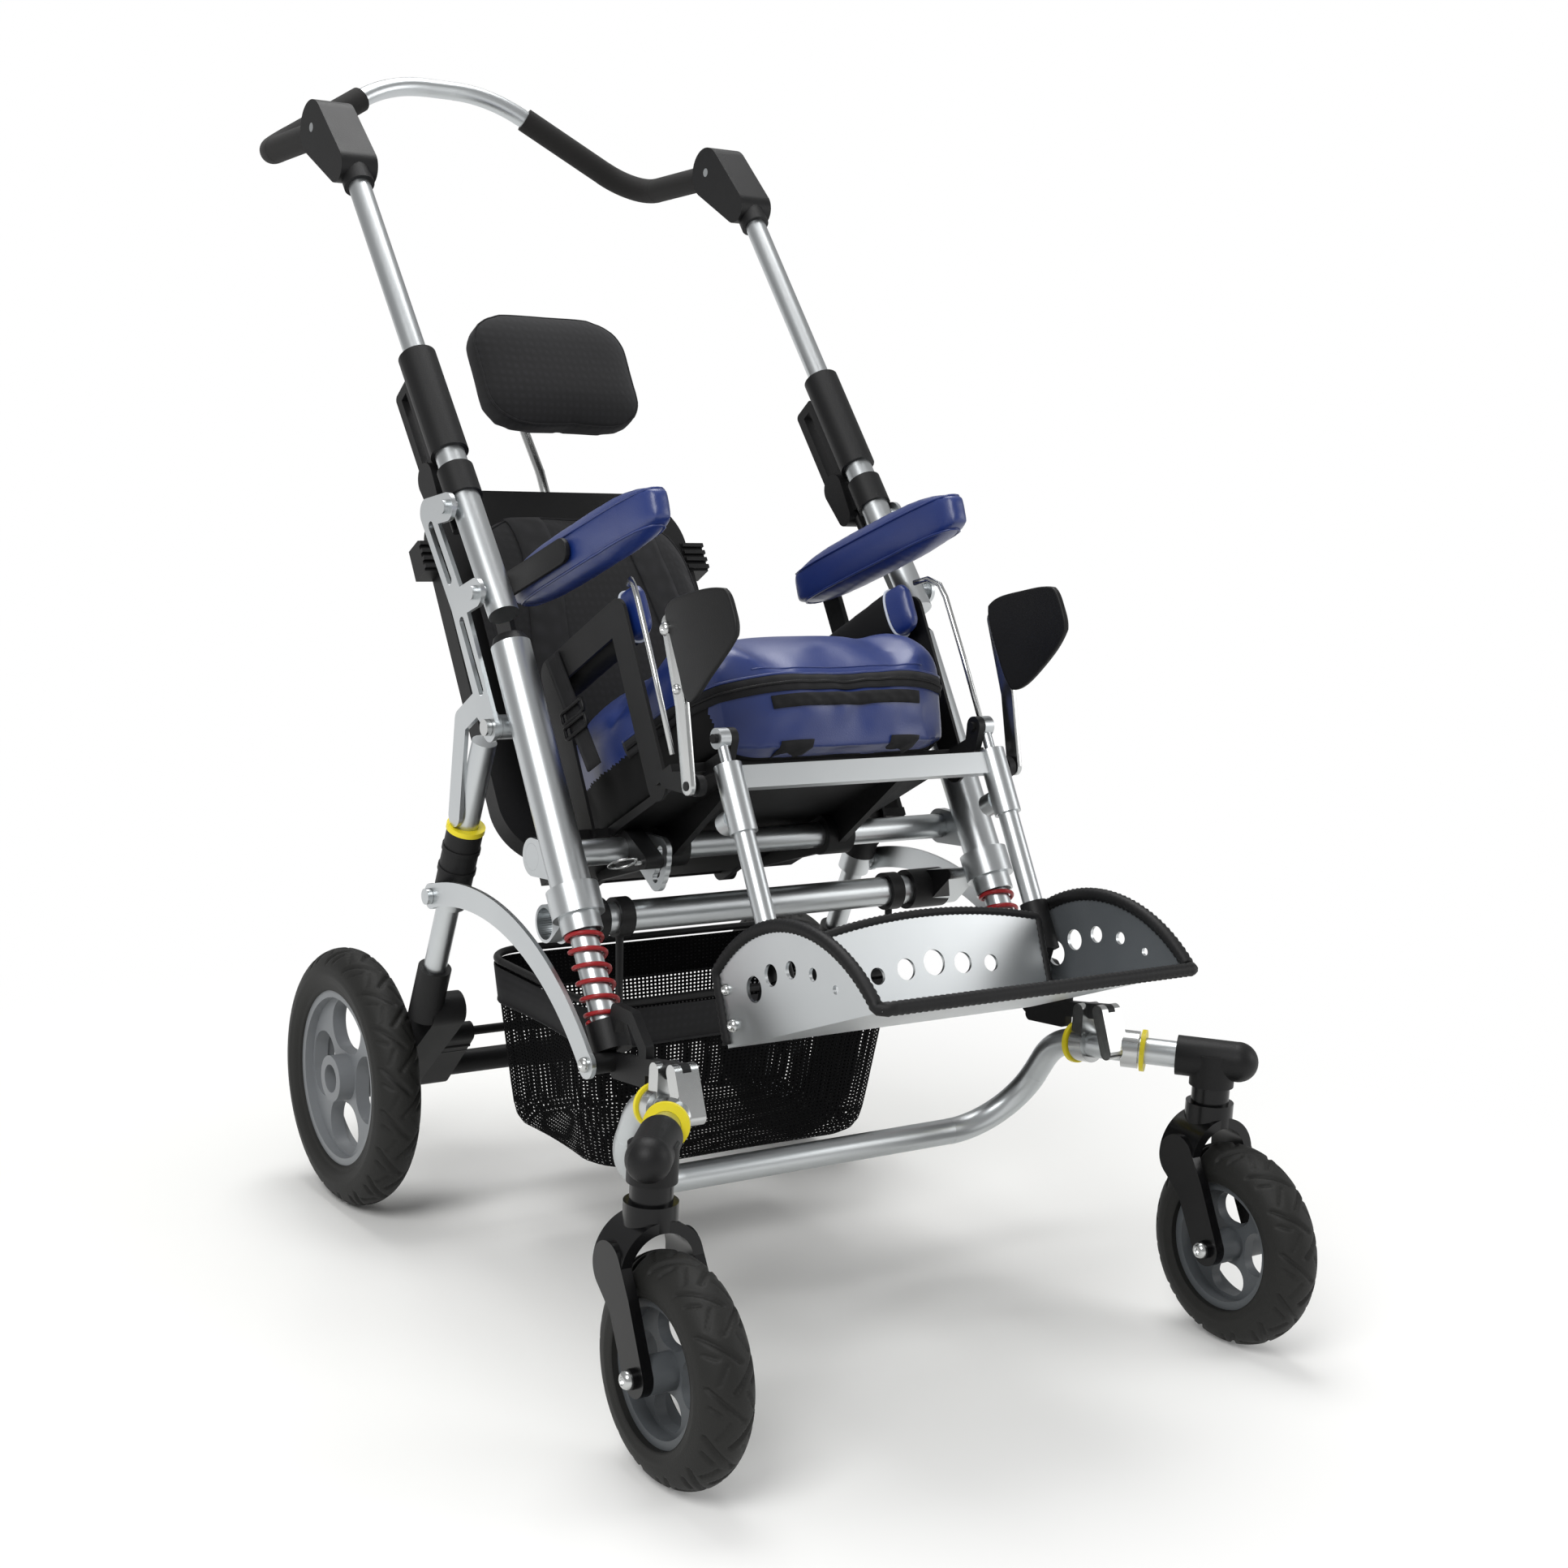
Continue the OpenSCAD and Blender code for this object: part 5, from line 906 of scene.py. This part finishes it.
# %% Straps, buckles and stay rods
strap_x, strap_slant, strap_z = 0.1648, 0.25, 0.09
buckle_y, buckle_lift = -0.018, 0.0028
frame_corners = [(-0.020, 0), (0.020, 0), (0.020, 0.011), (-0.020, 0.011)]
stay = [
    (0.156, -0.140, 0.198), (0.162, -0.154, 0.196), (0.1662, -0.163, 0.186),
    (0.1672, -0.1655, 0.172), (0.168, -0.166, 0.110), (0.169, -0.1645, 0.030),
]
for side, sign in sides.items():
    out = sign * strap_x
    heights = np.linspace(0.070, 0.190, 24)
    rows = [
        [in_seat @ Vector((out, y + strap_slant * (z - strap_z), z)) for z in heights]
        for y in np.linspace(-0.036, -0.012, 5)
    ]
    strip(f"{side}_hip_strap", rows, webbing, "seat", 0.0018)
    for name, low in (("lower", 0.108), ("upper", 0.122)):
        lifted = out + sign * buckle_lift
        ring = [in_seat @ Vector((lifted, buckle_y + y, low + z)) for y, z in frame_corners]
        edges = list(zip(ring, ring[1:] + ring[:1]))
        ring = [a.lerp(b, share) for a, b in edges for share in (0.06, 0.35, 0.65, 0.94)]
        tube(f"{side}_{name}_buckle_bar", ring, 0.0019, nylon, "seat", closed=True)
    rod = [in_seat @ Vector((sign * x, y, z)) for x, y, z in stay]
    tube(f"{side}_pad_stay", rod, 0.0027, zinc, "seat")
print("stay rods and straps:", 2 * len(sides))

# %% [markdown]
# ## Knee guides
# Each guide is a curved black shell that wraps the knee from outside, on a flat steel bar with a bend in it.
# The CAD holds both in one node, so they are made again here as two pieces: a sheet bent round an arc,
# thickened and with its edges broken, and a bar with round ends.

# %% Shells and bars
shell_steps, shell_rows = 33, 19
shell_radius, shell_x, shell_y, shell_middle_y = 0.300, -0.124, -0.263, -0.222
shell_turn, shell_sweep = 0.25, 9.5
bar_path = [(-0.186, -0.006), (-0.205, 0.058), (-0.214, 0.128)]
for side, sign in sides.items():
    points = []
    for s in np.linspace(-1, 1, shell_steps):
        for t in np.linspace(-1, 1, shell_rows):
            turn = math.radians(shell_turn + shell_sweep * s * (1 - 0.10 * t ** 4))
            y = shell_y + shell_radius * math.sin(turn)
            top = 0.146 + (y - shell_middle_y) * 0.28
            low = 0.050 - (y - shell_middle_y) * 0.27
            height = (top + low) / 2 + (top - low) / 2 * t * (1 - 0.16 * s ** 4)
            points.append((sign * (shell_x + shell_radius * math.cos(turn)), y, height))
    knee = f"{side}_knee"
    faces = ring_faces(shell_steps, shell_rows, closed=False)
    shell = piece(f"{side}_knee_shell", points, faces, nylon, knee, in_seat)
    thickened(shell, 0.005, 0.0016, -sign)
    name = f"{side}_knee_bar"
    flat_bar(name, bar_path, 0.008, sign * 0.1747, 0.005, zinc, knee, in_seat)
    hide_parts(f"{side}_knee_guide")
print("knee shell faces:", len(shell.data.polygons))

# %% [markdown]
# ## Footplate trim
# The cut edges of the sheet metal tray are covered by a ribbed black rubber profile that is pushed on.
# It follows the back edge, the arched top and the front edge, so it is one tube with a pulsing radius.
# A second length covers the edge of the back plate, and the feet of the footrest tubes are black.

# %% Ribbed edge trim
arch_mm, arch_back_mm, arch_front_mm = 148, 80, 64
arch_y, arch_z, tray_x, trim_gap = -0.040, -0.090, 0.1605, 0.003


def tray_edge(x):
    """The back edge and the arched top of one side plate."""
    radius = arch_mm / 1000
    first, last = math.acos(arch_back_mm / arch_mm), math.pi - math.asin(arch_front_mm / arch_mm)
    arc = np.linspace(first, last, 90)
    over = [(x, arch_y + radius * math.cos(a), arch_z + radius * math.sin(a)) for a in arc]
    back = [(x, 0.0405, z) for z in np.linspace(-0.026, over[0][2] - trim_gap, 20)]
    return back + over


def ribbed(name, path, rib, valley):
    """A trim along points of the footplate's frame, in which every second point stands out as a rib."""
    path = [in_foot @ Vector(p) for p in path]
    radii = [rib if k % 2 else valley for k in range(len(path))]
    tube(name, path, radii, buffer_rubber, "foot_tray", facets=10)
    return len(path)


front = [(x, -0.181, -0.0275) for x in np.linspace(0.156, -0.156, 110)]
edge = tray_edge(tray_x) + front + tray_edge(-tray_x)[::-1]
trim_points = ribbed("footplate_edge_trim", edge, 0.0060, 0.0050)
back_x, back_y, back_top, back_bow = 0.120, -0.0415, 0.0565, 0.560
across = np.linspace(-0.119, 0.119, 90)
crest = [(x, back_y, back_top - back_bow + math.sqrt(back_bow ** 2 - x ** 2)) for x in across]
rises = np.linspace(-0.024, crest[0][2] - trim_gap, 24)
back_edge = [(-back_x, back_y, z) for z in rises] + crest + [(back_x, back_y, z) for z in rises[::-1]]
trim_points += ribbed("footplate_back_trim", back_edge, 0.0040, 0.0033)
sleeve_top = -0.150
black_feet = second_finish("footrest_tubes", nylon, lambda at, out: (to_seat @ at).z < sleeve_top)
print("trim points:", trim_points, "black faces at the tube feet:", black_feet)

# %% [markdown]
# ## Basket
# The basket under the seat is a sewn tub of black net with a closed band round its top.
# Net threads lie about 2 mm apart; the net is drawn at 3.6 to 4.8 mm so that its holes show.
# The tub is lofted from rounded rings. Its walls draw in between the corners and its floor sags.

# %% Net finish
net, tree, shader, place = finish_named("black_polyester_net")
mesh_place = add(tree, "UVMap")
split = add(tree, "SeparateXYZ", {"Vector": mesh_place}).node.outputs
holes = []
for axis, spacing in (("X", 0.0048), ("Y", 0.0036)):
    saw = calculate(tree, "MULTIPLY", split[axis], 2 * math.pi / spacing)
    holes.append(calculate(tree, "COSINE", saw))
thread = calculate(tree, "MAXIMUM", *holes)
cloud = noise(tree, place, 40, 4)
feed(tree, shader, {
    "Base Color": two_tones(tree, cloud, "#080809", "#121213"),
    "Alpha": calculate(tree, "GREATER_THAN", thread, -0.28),
    "Normal": dents(tree, thread, 0.5, 0.0008),
    "Roughness": 0.95,
    "Specular IOR Level": 0.08,
})
print("net nodes:", len(tree.nodes))


# %% Basket tub and band
def oblong(width, length, height, corner, draw_in, arc=9, straight=12, middle_y=-0.042):
    """A ring of points round an oblong with round corners, whose walls bow in by draw_in."""
    ring = []
    for quarter, (sx, sy) in enumerate(((1, 1), (-1, 1), (-1, -1), (1, -1))):
        turns = np.radians(np.linspace(90 * quarter, 90 * quarter + 90, arc))
        x, y = sx * (width / 2 - corner), sy * (length / 2 - corner)
        ring += [(x + corner * math.cos(t), y + corner * math.sin(t)) for t in turns]
        nx, ny = ((0, 1), (-1, 0), (0, -1), (1, 0))[quarter]
        reach = length / 2 if ny else width / 2
        span = (width if ny else length) / 2 - corner
        for share in np.linspace(-1, 1, straight + 2)[1:-1]:
            out = reach - draw_in * (1 - share ** 2)
            ring.append((nx * out - ny * share * span, ny * out + nx * share * span))
    return [(x, y + middle_y, height) for x, y in ring]


tub_width, tub_length, tub_corner, band_gap = 0.356, 0.221, 0.045, 0.0022
# Each level: its height, its share of the top's size, and how far its walls bow in.
levels = [
    (0.266, 1.0, 0.0), (0.250, 0.988, 0.002), (0.232, 0.974, 0.003), (0.205, 0.952, 0.005),
    (0.175, 0.928, 0.007), (0.150, 0.908, 0.007), (0.130, 0.890, 0.006), (0.118, 0.872, 0.004),
    (0.111, 0.845, 0.003), (0.107, 0.80, 0.002), (0.105, 0.70, 0.0), (0.104, 0.45, 0.0), (0.1035, 0.15, 0.0),
]
wall_rings = 9
rings = [oblong(tub_width * k, tub_length * k, z, tub_corner * k, bow) for z, k, bow in levels]
around = len(rings[0])
faces = ring_faces(len(rings), around) + [tuple((len(rings) - 1) * around + a for a in range(around))]
points = [p for ring in rings for p in ring]
basket = piece("basket_net_tub", points, faces, net, "chassis")
steps = [math.dist(rings[2][a], rings[2][(a + 1) % around]) for a in range(around)]
along_wall = np.concatenate([[0], np.cumsum(steps)])
marks = basket.data.uv_layers.new(name="threads")
for face in basket.data.polygons:
    ring_index = [v // around for v in face.vertices]
    for loop, vert in zip(face.loop_indices, face.vertices):
        place_on = basket.data.vertices[vert].co
        if max(ring_index) < wall_rings:
            step = vert % around
            closes = step == 0 and any(v % around == around - 1 for v in face.vertices)
            marks.data[loop].uv = (along_wall[around if closes else step], place_on.z)
        else:
            marks.data[loop].uv = (place_on.x, place_on.y)
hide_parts("storage_basket")
band = [
    oblong(tub_width * k + band_gap, tub_length * k + band_gap, z, tub_corner * k, bow)
    for z, k, bow in levels[:3]
]
strip("basket_top_band", band, knit, "chassis", 0.0012, closed=True)
hem = [(x, y, z - 0.001) for x, y, z in band[2]]
tube("basket_band_hem", hem, 0.0014, webbing, "chassis", closed=True)

# %% [markdown]
# ## Screws
# The visible screws are zinc plated button heads with a hexagon socket. They are turned from one outline,
# with the socket's rings pressed to a hexagon, and all the screws of a body make one piece.

# %% Button head screws
def screws(name, body, heads):
    """Heads are (centre of the seat, direction that the head points, head diameter)."""
    outline = [
        (1.0, -0.3), (1.0, 0.18), (0.93, 0.42), (0.76, 0.66), (0.55, 0.78),
        (0.47, 0.79), (0.42, 0.72), (0.42, 0.30), (0.0001, 0.30),
    ]
    socket_from, count = 0.45, 24
    points, faces = [], []
    for at, direction, diameter in heads:
        direction = Vector(direction).normalized()
        one = direction.orthogonal().normalized()
        two = direction.cross(one)
        first = len(points)
        for share, height in outline:
            for k in range(count):
                turn = 2 * math.pi * k / count
                flat = math.cos(math.pi / 6) / math.cos(turn % (math.pi / 3) - math.pi / 6)
                reach = share * (flat if share < socket_from else 1)
                spoke = reach * (one * math.cos(turn) + two * math.sin(turn))
                points.append(Vector(at) + diameter / 2 * (spoke + direction * height))
        faces += [tuple(first + i for i in f) for f in ring_faces(len(outline), count, capped=True)]
    return piece(name, points, faces, zinc, body)


def on_both(points, place=Matrix.Identity(4), signs=(1, -1)):
    """Screws at (x, y, z, head diameter) of a frame on both sides of the buggy, facing outwards."""
    return [(place @ Vector((s * x, y, z)), (s, 0, 0), d) for x, y, z, d in points for s in signs]


link_bolts = [(0.2548, 0.0225, 0.3427, 0.013), (0.2548, -0.2759, 0.2623, 0.013)]
tray_bolts = [(0.162, 0.028, 0.018, 0.010), (0.162, 0.026, -0.012, 0.012)]
knee_bolts = [(0.1772, -0.2125, 0.124, 0.012), (0.1772, -0.207, 0.072, 0.009)]
screws("side_link_screws", "side_links", on_both(link_bolts))
screws("footplate_screws", "foot_tray", on_both(tray_bolts, in_foot))
for side, sign in sides.items():
    screws(f"{side}_knee_screws", f"{side}_knee", on_both(knee_bolts, in_seat, (sign,)))
    ends = ((0.335, sign), (0.253, -sign))
    axle = [(Vector((sign * x, *caster_at[1:])), (turn, 0, 0), 0.015) for x, turn in ends]
    screws(f"{side}_caster_axle_screws", f"{side}_caster", axle)

# %% Print how far the sizes grew past the CAD frame
visual_low, visual_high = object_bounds()
grown = (visual_high - visual_low) - (cad_high - cad_low)
print("grown by (mm):", [round(1000 * length, 1) for length in grown])
